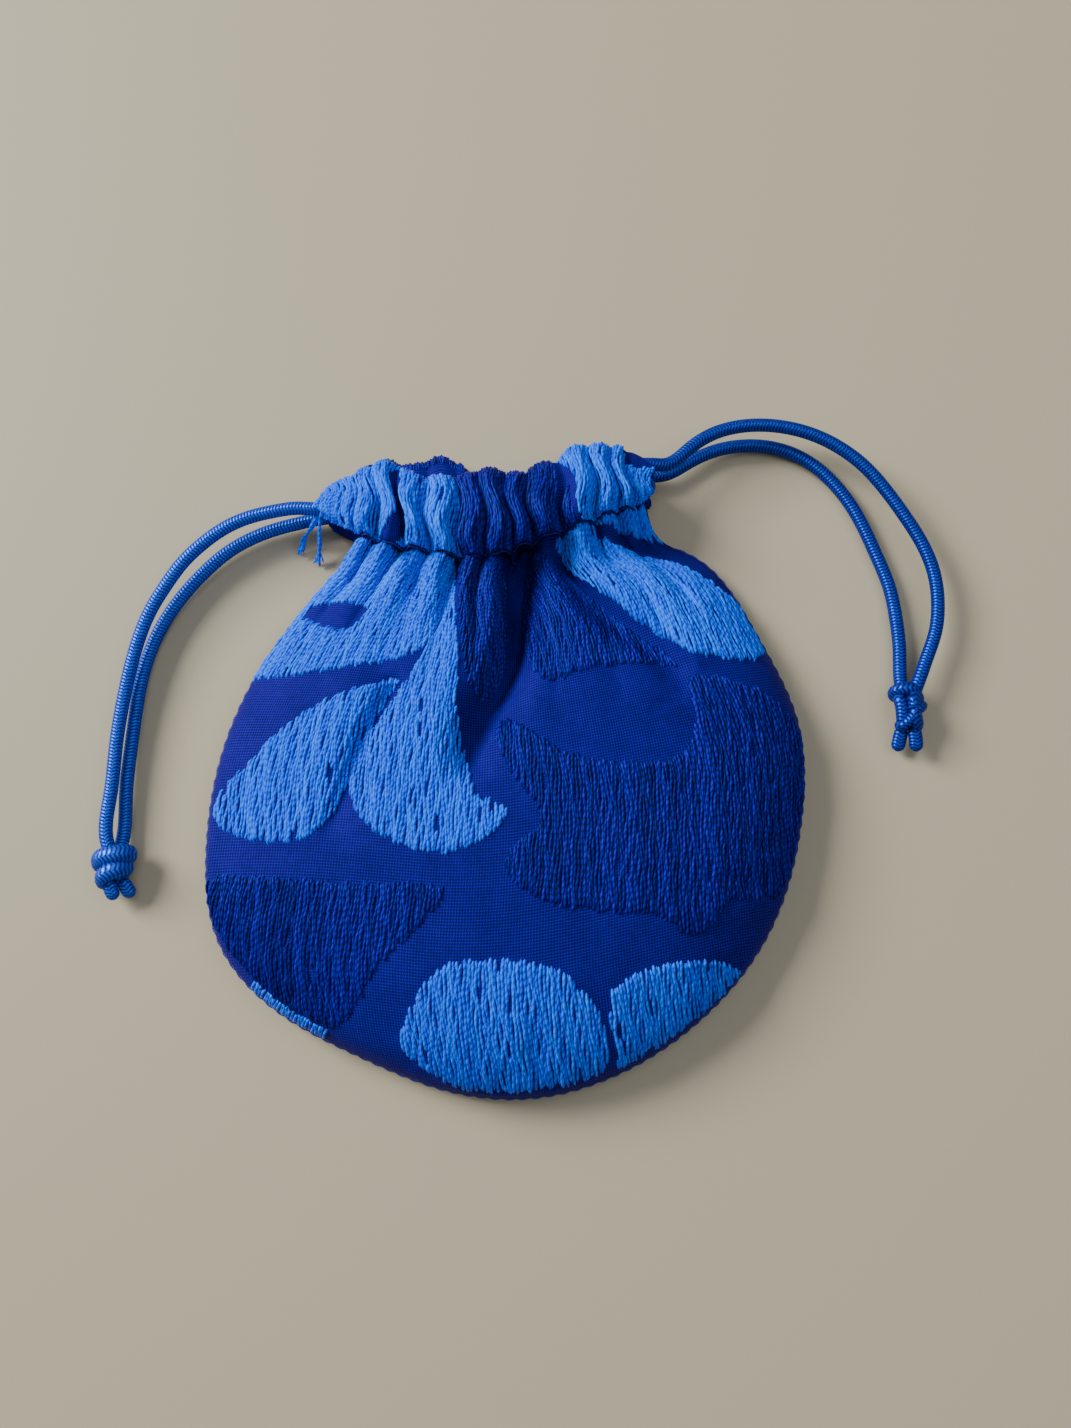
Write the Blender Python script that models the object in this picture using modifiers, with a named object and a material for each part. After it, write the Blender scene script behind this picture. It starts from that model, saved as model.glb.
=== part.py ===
"""A small drawstring gift pouch of figured cloth, laid on its back with its mouth drawn half closed.

Metres, +Z up. +X runs along the mouth, +Y points out of the mouth, and the pouch lies on z = 0.
The mouth has a frame of its own: u runs along the casings, and v points out of the mouth, square to u.
Each drawcord goes knot, strand, front casing, turn at the far side, back casing, strand, knot.
"""

import math

import bmesh
import bpy
import numpy as np

# Cloth, thread and cord
CLOTH = 0.0008  # thickness of the woven cloth
THREAD_RADIUS = 0.0003
SEWING_GAP = 0.0003  # between a thread and the cloth that it joins
CORD_DIAMETER = 0.0025
JOINT_GAP = 0.0003  # between two lengths of one cord that meet end to end

# The bag, seen from the front
BAG_WIDTH = 0.1070  # at the widest part of the belly
BAG_LENGTH = 0.1095  # from the base seam to the middle of the drawcords
BAG_DEPTH = 0.0170  # from the table to the top of the belly
SEAM_HEIGHT = 0.0030  # the side and base seam, above the table
SEAM_SLIT = 0.036  # share of the seam's path left open at each side of the mouth, for the cords
BASE_CORNER = 0.36  # share of the seam's path from the mouth to each lower corner
FLAT_BACK = 0.5  # the back lies flat on the table where the bag is at least this full
FRONT_NECK = 0.55  # share of the way from the base to the mouth where the front starts to come down
BACK_NECK = 0.88  # and where the back starts to rise to its casing
BELLY_POWER = 2.6  # of the superellipses that give the fullness: the higher, the flatter the middle
NECK_POWER = 2.0
BACK_POWER = 3.0

# The outline of the belly, from the left of the mouth round the base to the right of it: each point is
# a share of half the width from the middle line, and a share of the length from the base
OUTLINE = (
    (-0.708, 0.794), (-0.858, 0.684), (-0.966, 0.547), (-1.002, 0.392), (-0.952, 0.250), (-0.768, 0.145),
    (-0.486, 0.070), (-0.179, 0.014), (0.065, 0.003), (0.307, 0.029), (0.634, 0.124), (0.867, 0.261),
    (0.987, 0.442), (0.987, 0.606), (0.854, 0.757), (0.634, 0.894), (0.520, 0.925),
)

# The mouth: two casings, each a turned-over hem that both cords run through
MOUTH_X = -0.0027
MOUTH_TILT = math.radians(4.7)
CASING_HALF = 0.0250  # half the gathered length of a casing
CASING_SIDE = 0.0085  # from the middle of the cords to the stitch line, at the ends of a casing
STITCH_DIP = 0.0065  # how much lower the stitch line hangs at the middle
STITCH_ROW = 0.0012  # from the casing to the panel below it, across the stitch row
CORD_SPACE = 0.0007  # between the two cords in a casing
CORD_CLEARANCE = 0.00055  # from a cord to the casing's wall
MOUTH_GAP = 0.0048  # between the two casings, at the middle of the mouth
LIP_DROP = 0.0042  # how much lower the front cords lie where their strands begin

# The cords outside the casings
RUN_OUT = 0.0062  # how far a cord's straight run stands out of its casing
RUN_GAP = 0.0008  # from there to the free strand that goes on to the knot
TUBE_STEP = 0.0060  # between two points of a cord's tube

CORD_RADIUS = CORD_DIAMETER / 2
RUN_END = CASING_HALF + RUN_OUT
STRAND_START = RUN_END + RUN_GAP
LANE = (CORD_DIAMETER + CORD_SPACE) / 2
CASING_THICK = CORD_DIAMETER + 2 * (CORD_CLEARANCE + CLOTH)
CASING_TOP = LANE + CORD_RADIUS + CORD_CLEARANCE + CLOTH
BACK_CORD_Z = CASING_THICK / 2
FRONT_CORD_Z = CASING_THICK + MOUTH_GAP + CASING_THICK / 2

# The mouth's upper right corner is the pouch's highest point in the picture plane, and the base its
# lowest: the origin is halfway between them
CORNER_RISE = CASING_HALF * math.sin(MOUTH_TILT) + CASING_TOP * math.cos(MOUTH_TILT)
BASE_Y = -(BAG_LENGTH + CORNER_RISE) / 2
MOUTH_Y = BASE_Y + BAG_LENGTH

# Each side's cord: the lane that it takes in the casings, the routes of its two free strands, the centre
# and half sizes of its knot, and its two cut ends. x and y count from where the strands begin, and z
# from the table.
CORDS = {
    "left": {
        "side": -1,
        "lane": -LANE,
        "front": (
            (-0.0040, 0.0002, 0.0080), (-0.0079, -0.0002, 0.0077), (-0.0129, -0.0013, 0.0073),
            (-0.0177, -0.0034, 0.0069), (-0.0216, -0.0062, 0.0065), (-0.0249, -0.0094, 0.0062),
            (-0.0280, -0.0137, 0.0058), (-0.0307, -0.0184, 0.0055), (-0.0327, -0.0237, 0.0052),
            (-0.0341, -0.0294, 0.0049), (-0.0353, -0.0364, 0.0046), (-0.0361, -0.0439, 0.0044),
            (-0.0366, -0.0519, 0.0043), (-0.0368, -0.0604, 0.0044),
        ),
        "back": (
            (-0.0035, -0.0007, 0.0026), (-0.0079, -0.0018, 0.0025), (-0.0137, -0.0040, 0.0023),
            (-0.0185, -0.0070, 0.0021), (-0.0220, -0.0102, 0.0019), (-0.0254, -0.0141, 0.0018),
            (-0.0287, -0.0190, 0.0017), (-0.0311, -0.0241, 0.0016), (-0.0326, -0.0296, 0.0017),
            (-0.0335, -0.0364, 0.0018), (-0.0341, -0.0439, 0.0019), (-0.0345, -0.0519, 0.0020),
            (-0.0347, -0.0604, 0.0022),
        ),
        "knot": ((-0.0355, -0.0647, 0.0036), (0.0039, 0.0039, 0.0036)),
        "tips": {
            "front": ((-0.0368, -0.0689, 0.0040), (-0.0365, -0.0712, 0.0036)),
            "back": ((-0.0336, -0.0688, 0.0028), (-0.0326, -0.0709, 0.0024)),
        },
    },
    "right": {
        "side": 1,
        "lane": LANE,
        "front": (
            (0.0044, 0.0031, 0.0080), (0.0099, 0.0066, 0.0077), (0.0159, 0.0080, 0.0074),
            (0.0220, 0.0079, 0.0070), (0.0281, 0.0064, 0.0066), (0.0334, 0.0037, 0.0062),
            (0.0372, 0.0007, 0.0059), (0.0409, -0.0035, 0.0055), (0.0446, -0.0088, 0.0051),
            (0.0479, -0.0146, 0.0048), (0.0496, -0.0196, 0.0046), (0.0501, -0.0253, 0.0044),
            (0.0494, -0.0306, 0.0043), (0.0477, -0.0353, 0.0042), (0.0460, -0.0396, 0.0042),
        ),
        "back": (
            (0.0048, 0.0024, 0.0025), (0.0101, 0.0050, 0.0022), (0.0154, 0.0061, 0.0019),
            (0.0206, 0.0059, 0.0017), (0.0254, 0.0044, 0.0016), (0.0299, 0.0014, 0.0015),
            (0.0337, -0.0028, 0.0015), (0.0370, -0.0083, 0.0015), (0.0399, -0.0153, 0.0015),
            (0.0421, -0.0218, 0.0016), (0.0430, -0.0278, 0.0017), (0.0433, -0.0333, 0.0019),
            (0.0432, -0.0396, 0.0021),
        ),
        "knot": ((0.0438, -0.0451, 0.0032), (0.0032, 0.0049, 0.0032)),
        "tips": {
            "front": ((0.0453, -0.0503, 0.0037), (0.0452, -0.0528, 0.0033)),
            "back": ((0.0423, -0.0503, 0.0023), (0.0419, -0.0528, 0.0020)),
        },
    },
}

PARTS = bpy.data.collections.new("drawstring_gift_pouch")


def clear_scene():
    for obj in list(bpy.data.objects):
        bpy.data.objects.remove(obj, do_unlink=True)
    bpy.context.scene.collection.children.link(PARTS)


def material(name, colour, roughness):
    made = bpy.data.materials.new(name)
    made.use_nodes = True
    shader = made.node_tree.nodes["Principled BSDF"]
    shader.inputs["Base Color"].default_value = (*colour, 1)
    shader.inputs["Roughness"].default_value = roughness
    shader.inputs["Metallic"].default_value = 0
    return made


def add_part(name, data, finish):
    data.materials.append(finish)
    made = bpy.data.objects.new(name, data)
    PARTS.objects.link(made)
    return made


def smooth_line(points, count):
    """count points, evenly spaced, along the natural cubic spline through these points."""
    points = np.array(points, float)
    run = np.insert(np.cumsum(np.linalg.norm(np.diff(points, axis=0), axis=1)), 0, 0)
    step = np.diff(run)
    size = len(points)
    system, right = np.eye(size), np.zeros_like(points)
    for i in range(1, size - 1):
        system[i, i - 1 : i + 2] = step[i - 1], 2 * (step[i - 1] + step[i]), step[i]
        slopes = np.diff(points[i - 1 : i + 2], axis=0) / step[i - 1 : i + 1, None]
        right[i] = 6 * (slopes[1] - slopes[0])
    bend = np.linalg.solve(system, right)

    def at(where):
        span = np.clip(np.searchsorted(run, where, side="right") - 1, 0, size - 2)
        gap, width = (where - run[span])[:, None], step[span][:, None]
        slope = (points[span + 1] - points[span]) / width - width * (2 * bend[span] + bend[span + 1]) / 6
        curl = bend[span] / 2 + gap * (bend[span + 1] - bend[span]) / (6 * width)
        return points[span] + gap * (slope + gap * curl)

    fine_run = np.linspace(0, run[-1], 40 * size)
    fine = at(fine_run)
    length = np.insert(np.cumsum(np.linalg.norm(np.diff(fine, axis=0), axis=1)), 0, 0)
    return at(np.interp(np.linspace(0, length[-1], count), length, fine_run))


def ease(x):
    """Smooth step: 0 up to x = 0, and 1 from x = 1."""
    x = np.clip(x, 0, 1)
    return x * x * (3 - 2 * x)


def at_mouth(u, v, z):
    """The point of the mouth's frame that is u along the casings, v out of the mouth and z high."""
    c, s = math.cos(MOUTH_TILT), math.sin(MOUTH_TILT)
    return np.stack(np.broadcast_arrays(MOUTH_X + u * c - v * s, MOUTH_Y + u * s + v * c, z), axis=-1)


def lip_height(u):
    """Height of the front casing's middle: an arch, highest at the middle of the mouth."""
    return FRONT_CORD_Z - LIP_DROP * (u / STRAND_START) ** 2


def back_height(u):
    return np.full_like(u, BACK_CORD_Z)


def stitch_line(u):
    """The casings' lower edge, as v: it hangs lowest at the middle of the mouth."""
    return -CASING_SIDE - STITCH_DIP * (1 - (u / CASING_HALF) ** 2)


def seam_path():
    """x and y along the side and base seam, from the left of the mouth round to the right of it."""
    end = CASING_HALF - STITCH_ROW / 2
    ends = at_mouth(np.array([-end, end]), stitch_line(end) - STITCH_ROW, 0.0)[:, :2]
    belly = [(x * BAG_WIDTH / 2, BASE_Y + y * BAG_LENGTH) for x, y in OUTLINE]
    return smooth_line([ends[0], *belly, ends[1]], 400)


SEAM = seam_path()


def on_seam(share):
    """x and y of the seam at this share of its length."""
    steps = np.linspace(0, 1, len(SEAM))
    return np.stack([np.interp(share, steps, SEAM[:, axis]) for axis in (0, 1)], axis=-1)


def plan(a, b):
    """x and y of the panels: a goes from -1 at the left seam to 1 at the right, and b from 0 at the base
    to 1 at the mouth. It is a Coons patch: the four edges blended, less the corners, counted twice."""
    right, up = ((1 + a) / 2)[..., None], b[..., None]
    along = a * (CASING_HALF - STITCH_ROW / 2)
    mouth = at_mouth(along, stitch_line(along) - STITCH_ROW, 0.0)[..., :2]
    base = on_seam(BASE_CORNER + (1 - 2 * BASE_CORNER) * (1 + a) / 2)
    left_side, right_side = on_seam(BASE_CORNER * (1 - b)), on_seam(1 - BASE_CORNER * (1 - b))
    low_left, low_right = on_seam(BASE_CORNER), on_seam(1 - BASE_CORNER)
    top_left, top_right = on_seam(0.0), on_seam(1.0)
    edges = (1 - up) * base + up * mouth + (1 - right) * left_side + right * right_side
    low_corners = (1 - right) * low_left + right * low_right
    top_corners = (1 - right) * top_left + right * top_right
    return edges - (1 - up) * low_corners - up * top_corners


def fullness(a, b, power):
    """0 at the side and base seams and 1 along the middle of the upper bag."""
    return (1 - np.abs(a) ** power) * (1 - np.clip(1 - 2 * b, 0, 1) ** power)


def at_slit(b, seam, mouth):
    """Height of a panel's side edge: at the seam, and up to its casing over the open slit."""
    open_part = SEAM_SLIT / BASE_CORNER
    return seam + (mouth - seam) * np.clip((b - 1 + open_part) / open_part, 0, 1) ** 2


def front_surface(a, b):
    """Middle of the front panel's cloth: a dome over the belly, which comes down to the front casing."""
    to_mouth = ease((b - FRONT_NECK) / (1 - FRONT_NECK))
    crown = (BAG_DEPTH - CLOTH / 2) * (1 - to_mouth) + FRONT_CORD_Z * to_mouth
    edge_end = lip_height(CASING_HALF - STITCH_ROW / 2)
    edge = at_slit(b, SEAM_HEIGHT + THREAD_RADIUS + SEWING_GAP + CLOTH / 2, edge_end)
    power = BELLY_POWER + (NECK_POWER - BELLY_POWER) * to_mouth
    height = edge + (crown - edge) * fullness(a, b, power) ** ((1 + to_mouth) / 2)
    return np.concatenate([plan(a, b), height[..., None]], axis=-1)


def back_surface(a, b):
    """Middle of the back panel's cloth: flat on the table, and turned up to the seam and to its casing."""
    floor = CLOTH / 2 + (BACK_CORD_Z - CLOTH / 2) * ease((b - BACK_NECK) / (1 - BACK_NECK))
    edge = at_slit(b, SEAM_HEIGHT - THREAD_RADIUS - SEWING_GAP - CLOTH / 2, BACK_CORD_Z)
    turned_up = (1 - np.clip(fullness(a, b, BACK_POWER) / FLAT_BACK, 0, 1)) ** 2
    height = floor + (edge - floor) * turned_up
    return np.concatenate([plan(a, b), height[..., None]], axis=-1)


def casing_surface(height_of):
    """The middle of a casing's cloth as a function: a goes from -1 to 1 along the mouth, and b from 0 to
    1 round the cords, on a superellipse that is between an oval and a box."""

    def surface(a, b):
        along, angle = a * CASING_HALF, 2 * math.pi * b
        top, foot = CASING_TOP - CLOTH / 2, stitch_line(along) + CLOTH / 2
        wide, high = np.cos(angle), np.sin(angle)
        squared = 2 / 3  # an exponent of 3
        across = (top + foot) / 2 + (top - foot) / 2 * np.sign(wide) * np.abs(wide) ** squared
        up = (CASING_THICK - CLOTH) / 2 * np.sign(high) * np.abs(high) ** squared
        return at_mouth(along, across, height_of(along) + up)

    return surface


def add_cloth(name, surface, columns, rows, finish, closed=False):
    """A sheet of cloth: a grid shaped by surface(a, b), joined end to end in b if closed, and thickened."""
    grid = bmesh.new()
    bmesh.ops.create_grid(grid, x_segments=columns, y_segments=rows, size=1)
    corners = np.array([vertex.co for vertex in grid.verts])
    for vertex, place in zip(grid.verts, surface(corners[:, 0], (1 + corners[:, 1]) / 2)):
        vertex.co = place
    if closed:
        bmesh.ops.remove_doubles(grid, verts=grid.verts, dist=1e-6)
    bmesh.ops.recalc_face_normals(grid, faces=grid.faces)
    mesh = bpy.data.meshes.new(name)
    grid.to_mesh(mesh)
    grid.free()
    mesh.shade_smooth()
    thicken = add_part(name, mesh, finish).modifiers.new("cloth", "SOLIDIFY")
    thicken.thickness = CLOTH
    thicken.offset = 0


def add_tube(name, points, radius, finish):
    curve = bpy.data.curves.new(name, "CURVE")
    curve.dimensions = "3D"
    curve.bevel_depth = radius
    curve.bevel_resolution = 2
    curve.use_fill_caps = True
    line = curve.splines.new("POLY")
    line.points.add(len(points) - 1)
    for point, place in zip(line.points, points):
        point.co = (*place, 1)
    add_part(name, curve, finish)


def add_seam_thread(finish):
    path = on_seam(np.linspace(SEAM_SLIT, 1 - SEAM_SLIT, 72))
    heights = np.full((len(path), 1), SEAM_HEIGHT)
    add_tube("side_seam_thread", np.hstack([path, heights]), THREAD_RADIUS, finish)


def add_stitch_row(name, height_of, finish):
    u = np.linspace(-1, 1, 20) * (CASING_HALF - STITCH_ROW / 2)
    add_tube(name, at_mouth(u, stitch_line(u) - STITCH_ROW / 2, height_of(u)), THREAD_RADIUS, finish)


def add_runs(side, cord, finish):
    """A cord's two lengths in the casings: each ends at the turn on one side and stands out on the other."""
    for casing, height_of in (("front", lip_height), ("back", back_height)):
        u = cord["side"] * np.linspace(-CASING_HALF, RUN_END, 12)
        add_tube(f"{side}_cord_{casing}_run", at_mouth(u, cord["lane"], height_of(u)), CORD_RADIUS, finish)


def add_turn(side, cord, finish):
    """The half circle that takes a cord round the far side of the mouth, from one casing to the other."""
    start = CASING_HALF + JOINT_GAP
    upper = lip_height(start)
    radius = (upper - BACK_CORD_Z) / 2
    angle = np.linspace(-math.pi / 2, math.pi / 2, 11)
    u = -cord["side"] * (start + radius * np.cos(angle))
    height = (upper + BACK_CORD_Z) / 2 + radius * np.sin(angle)
    add_tube(f"{side}_cord_turn", at_mouth(u, cord["lane"], height), CORD_RADIUS, finish)


def from_exit(cord, points):
    """Points of a cord's outer parts, moved to where its strands begin."""
    return at_mouth(cord["side"] * STRAND_START, cord["lane"], 0.0) + np.array(points)


def add_strands(side, cord, finish):
    """The two free lengths of a cord, from its runs to its knot."""
    for casing, height in (("front", lip_height(STRAND_START)), ("back", BACK_CORD_Z)):
        route = from_exit(cord, [(0, 0, height), *cord[casing]])
        reach = np.linalg.norm(np.diff(route, axis=0), axis=1).sum()
        points = smooth_line(route, math.ceil(reach / TUBE_STEP) + 1)
        add_tube(f"{side}_strand_{casing}", points, CORD_RADIUS, finish)


def add_knot(side, cord, finish):
    """The knot that ties a cord's two strands together, as the oval that holds it."""
    centre, half_size = cord["knot"]
    centre = from_exit(cord, centre)
    oval = bmesh.new()
    bmesh.ops.create_uvsphere(oval, u_segments=20, v_segments=12, radius=1)
    for vertex in oval.verts:
        vertex.co = [middle + half * way for middle, half, way in zip(centre, half_size, vertex.co)]
    mesh = bpy.data.meshes.new(f"{side}_knot")
    oval.to_mesh(mesh)
    oval.free()
    mesh.shade_smooth()
    add_part(f"{side}_knot", mesh, finish)


def main():
    clear_scene()
    cloth = material("figured_cloth", (0.006, 0.018, 0.33), 0.85)
    thread = material("sewing_thread", (0.010, 0.030, 0.42), 0.60)
    satin = material("satin_cord", (0.010, 0.060, 0.55), 0.35)

    add_cloth("front_panel", front_surface, 20, 20, cloth)
    add_cloth("back_panel", back_surface, 20, 20, cloth)
    add_seam_thread(thread)
    for casing, height_of in (("front", lip_height), ("back", back_height)):
        add_cloth(f"{casing}_casing", casing_surface(height_of), 12, 20, cloth, closed=True)
        add_stitch_row(f"{casing}_casing_stitch", height_of, thread)

    for side, cord in CORDS.items():
        add_runs(side, cord, satin)
        add_turn(side, cord, satin)
        add_strands(side, cord, satin)
        add_knot(side, cord, satin)
        for casing, route in cord["tips"].items():
            add_tube(f"{side}_tip_{casing}", from_exit(cord, route), CORD_RADIUS, satin)


main()
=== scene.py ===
"""The looks of a small drawstring gift pouch of figured cloth, which lies on its back, half drawn shut.

Lengths are in metres and +Z is up. The mouth has a frame of its own: u runs along the casings, and v
points out of the mouth. Both panels and both casings are sheets of one cloth, which this file keeps as
grids of points: a runs across the cloth from the left seam to the right, and b from the base up.
"""

import math

import bpy
import numpy as np
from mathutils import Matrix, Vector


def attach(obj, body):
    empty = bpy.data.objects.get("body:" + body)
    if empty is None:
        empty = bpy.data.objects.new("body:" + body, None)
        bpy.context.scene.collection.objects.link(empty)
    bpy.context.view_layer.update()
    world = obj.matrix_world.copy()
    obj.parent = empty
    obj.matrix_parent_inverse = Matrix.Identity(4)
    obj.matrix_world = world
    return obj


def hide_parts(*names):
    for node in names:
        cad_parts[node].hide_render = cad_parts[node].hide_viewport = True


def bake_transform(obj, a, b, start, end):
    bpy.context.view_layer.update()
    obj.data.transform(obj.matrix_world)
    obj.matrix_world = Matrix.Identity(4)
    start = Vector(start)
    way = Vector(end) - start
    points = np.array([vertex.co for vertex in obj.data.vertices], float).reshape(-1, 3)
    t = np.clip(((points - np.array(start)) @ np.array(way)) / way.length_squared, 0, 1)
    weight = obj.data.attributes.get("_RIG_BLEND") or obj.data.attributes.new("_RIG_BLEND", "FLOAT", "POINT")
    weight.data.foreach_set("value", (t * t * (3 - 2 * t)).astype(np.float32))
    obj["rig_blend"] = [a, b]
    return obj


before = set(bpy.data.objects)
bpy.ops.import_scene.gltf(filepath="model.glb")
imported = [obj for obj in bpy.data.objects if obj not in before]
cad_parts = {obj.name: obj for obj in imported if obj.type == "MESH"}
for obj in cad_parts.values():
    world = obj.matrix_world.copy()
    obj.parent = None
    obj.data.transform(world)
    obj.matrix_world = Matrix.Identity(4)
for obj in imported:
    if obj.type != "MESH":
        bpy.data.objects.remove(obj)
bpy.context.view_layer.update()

# ---- Table, light and camera ----
# The pouch lies on a plain pale table in soft window light from the upper left, and is seen from
# nearly straight above, from a little on the base's side.

MM = 0.001


def add_stage():
    mesh = bpy.data.meshes.new("table")
    reach = 3.0
    corners = [(-reach, -reach, 0), (reach, -reach, 0), (reach, reach, 0), (-reach, reach, 0)]
    mesh.from_pydata(corners, [], [(0, 1, 2, 3)])
    table = bpy.data.objects.new("table", mesh)
    bpy.context.scene.collection.objects.link(table)
    paint = bpy.data.materials.new("pale table")
    paint.use_nodes = True
    paint.node_tree.nodes["Principled BSDF"].inputs["Base Color"].default_value = (0.385, 0.345, 0.24, 1)
    paint.node_tree.nodes["Principled BSDF"].inputs["Roughness"].default_value = 0.6
    mesh.materials.append(paint)


def add_light(name, place, aim, size, power, colour):
    lamp = bpy.data.lights.new(name, "AREA")
    lamp.size = size
    lamp.energy = power
    lamp.color = colour
    held = bpy.data.objects.new(name, lamp)
    held.location = place
    way = np.array(aim) - np.array(place)
    flat = math.hypot(way[0], way[1])
    held.rotation_euler = (math.atan2(flat, -way[2]), 0, math.atan2(way[0], -way[1]) + math.pi)
    bpy.context.scene.collection.objects.link(held)


def add_camera():
    tilt = math.radians(10)
    distance = 252 * MM
    target = np.array((5.2, 10.0, 4.0)) * MM
    lens = bpy.data.cameras.new("camera")
    lens.lens = 35
    lens.sensor_width = 36
    lens.clip_start = 0.01
    held = bpy.data.objects.new("camera", lens)
    held.location = target + distance * np.array((0, -math.sin(tilt), math.cos(tilt)))
    held.rotation_euler = (tilt, 0, 0)
    bpy.context.scene.collection.objects.link(held)
    bpy.context.scene.camera = held


add_stage()
add_camera()
add_light("window", (-1.12, 0.62, 0.84), (0, 0, 0), 0.65, 46.0, (1.0, 0.97, 0.93))
add_light("room", (0.3, 0.1, 1.0), (0, 0, 0), 1.0, 4.6, (0.95, 0.97, 1.0))
world = bpy.data.worlds.new("room light")
world.use_nodes = True
world.node_tree.nodes["Background"].inputs["Color"].default_value = (0.80, 0.86, 1.0, 1)
world.node_tree.nodes["Background"].inputs["Strength"].default_value = 0.2
bpy.context.scene.world = world

# ---- The front and back panels ----
# Two pieces of woven cloth, cut straight at the mouth and round at the base, and sewn together round the
# edge. The front stands full, in folds that run down from the gathered mouth, and the back lies flat. Both
# carry broad petals of floating yarn, azure or royal blue, which end in a comb of yarn ends.

SEAM_HEIGHT = 3.0 * MM
CUT_WIDTH = 114 * MM
CUT_LENGTH = 103 * MM
CUT_CORNER = 46 * MM
BASE_CORNER = 0.36  # where a panel's grid turns its lower corners, as a share of the seam's length
MOUTH_X = -2.7 * MM  # the mouth's frame has its origin here, and its u is turned by the tilt
MOUTH_Y = 51.63 * MM
MOUTH_TILT = math.radians(4.7)
NECK = (-24.4 * MM, 27.6 * MM)  # where the panels' side seams meet the casings, as u

# The seam's outline below the neck: x in half widths of the bag, and y in its length from the base
OUTLINE = (
    (-0.708, 0.794), (-0.858, 0.684), (-0.966, 0.547), (-1.002, 0.392), (-0.952, 0.250), (-0.768, 0.145),
    (-0.486, 0.070), (-0.179, 0.014), (0.065, 0.003), (0.307, 0.029), (0.634, 0.124), (0.867, 0.261),
    (0.987, 0.442), (0.987, 0.606), (0.854, 0.757), (0.634, 0.894), (0.520, 0.925),
)
BAG_HALF_WIDTH = 53.5 * MM
BASE_Y = -57.87 * MM
BAG_LENGTH = 109.5 * MM
PLEATS = (-25.0, -21.5, -17.0, -12.0, -6.8, -2.4, 2.6, 6.2, 12.2, 18.0, 22.2, 25.0)  # creases, in mm of u
RUFFLE = 4.6 * MM  # how high the folds stand at the stitch row
CROWN = 16.4  # mm from the table to the top of the full front
LIP_TOP = 12.6  # mm from the table to the middle of the front casing, at the middle of the mouth


def length_along(points):
    """How far along a line each of its points lies."""
    return np.insert(np.cumsum(np.linalg.norm(np.diff(points, axis=0), axis=1)), 0, 0)


def smooth_line(points, count):
    """count evenly spaced points along the natural cubic spline through these points."""
    points = np.array(points, float)
    run = length_along(points)
    step = np.diff(run)
    size = len(points)
    system, right = np.eye(size), np.zeros_like(points)
    for i in range(1, size - 1):
        system[i, i - 1 : i + 2] = step[i - 1], 2 * (step[i - 1] + step[i]), step[i]
        slopes = np.diff(points[i - 1 : i + 2], axis=0) / step[i - 1 : i + 1, None]
        right[i] = 6 * (slopes[1] - slopes[0])
    bend = np.linalg.solve(system, right)

    def at(where):
        span = np.clip(np.searchsorted(run, where, side="right") - 1, 0, size - 2)
        gap, width = (where - run[span])[:, None], step[span][:, None]
        slope = (points[span + 1] - points[span]) / width - width * (2 * bend[span] + bend[span + 1]) / 6
        curl = bend[span] / 2 + gap * (bend[span + 1] - bend[span]) / (6 * width)
        return points[span] + gap * (slope + gap * curl)

    fine_run = np.linspace(0, run[-1], 40 * size)
    fine = at(fine_run)
    length = length_along(fine)
    return at(np.interp(np.linspace(0, length[-1], count), length, fine_run))


def ease(x):
    """A smooth step from 0 to 1: three squares of x less two cubes."""
    x = np.clip(x, 0, 1)
    return x * x * (3 - 2 * x)


def at_mouth(u, v, z):
    """The point of the mouth's frame that is u along the casings, v out of the mouth and z high."""
    c, s = math.cos(MOUTH_TILT), math.sin(MOUTH_TILT)
    return np.stack(np.broadcast_arrays(MOUTH_X + u * c - v * s, MOUTH_Y + u * s + v * c, z), axis=-1)


def lip_height(u):
    """Height of the middle of the front casing: an arch, highest at the middle of the mouth."""
    return (LIP_TOP - 4.2 * (u / (32 * MM)) ** 2) * MM


# The lower edge of the casings with the stitch row, as u and v in mm
FOOT = (
    (-31.8, -3.0), (-29.7, -4.6), (-26.5, -6.6), (-23.3, -8.4), (-19.9, -10.1), (-14.5, -11.9), (-8.3, -13.7),
    (-3.7, -14.6), (1, -14.2), (5.9, -12.6), (10.3, -11.4), (17.1, -9.2), (22, -7.6), (27.0, -5.8),
    (29.4, -3.6),
)


def edge_line(edge, u):
    """v along an edge at u, with its corners rounded."""
    line = smooth_line(np.array(edge) * MM, 400)
    return np.interp(u, line[:, 0], line[:, 1])


def neck_u(a):
    return NECK[0] + (NECK[1] - NECK[0]) * (1 + a) / 2


def stitch_edge(a):
    """The mouth's edge of a panel, seen from above. It is sewn to the casings from one side of the neck to
    the other, a little inside their lower edge."""
    u = neck_u(a)
    return at_mouth(u, edge_line(FOOT, u) + 0.9 * MM, 0.0)[..., :2]


def between(path, share):
    """The points at these shares of a path's length."""
    steps = np.linspace(0, 1, len(path))
    return np.stack([np.interp(share, steps, path[:, k]) for k in range(path.shape[1])], axis=-1)


def patch(path, mouth, a, b):
    """A Coons patch over a and b: its four edges blended, less its corners. path runs down the left
    side, along the base and up the right side, and mouth(a) is the edge at b = 1."""
    right, up = ((1 + a) / 2)[..., None], b[..., None]
    base = between(path, BASE_CORNER + (1 - 2 * BASE_CORNER) * (1 + a) / 2)
    left_side, right_side = between(path, BASE_CORNER * (1 - b)), between(path, 1 - BASE_CORNER * (1 - b))
    low = (1 - right) * between(path, BASE_CORNER) + right * between(path, 1 - BASE_CORNER)
    top = (1 - right) * path[0] + right * path[-1]
    edges = (1 - up) * base + up * mouth(a) + (1 - right) * left_side + right * right_side
    return edges - (1 - up) * low - up * top


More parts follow.
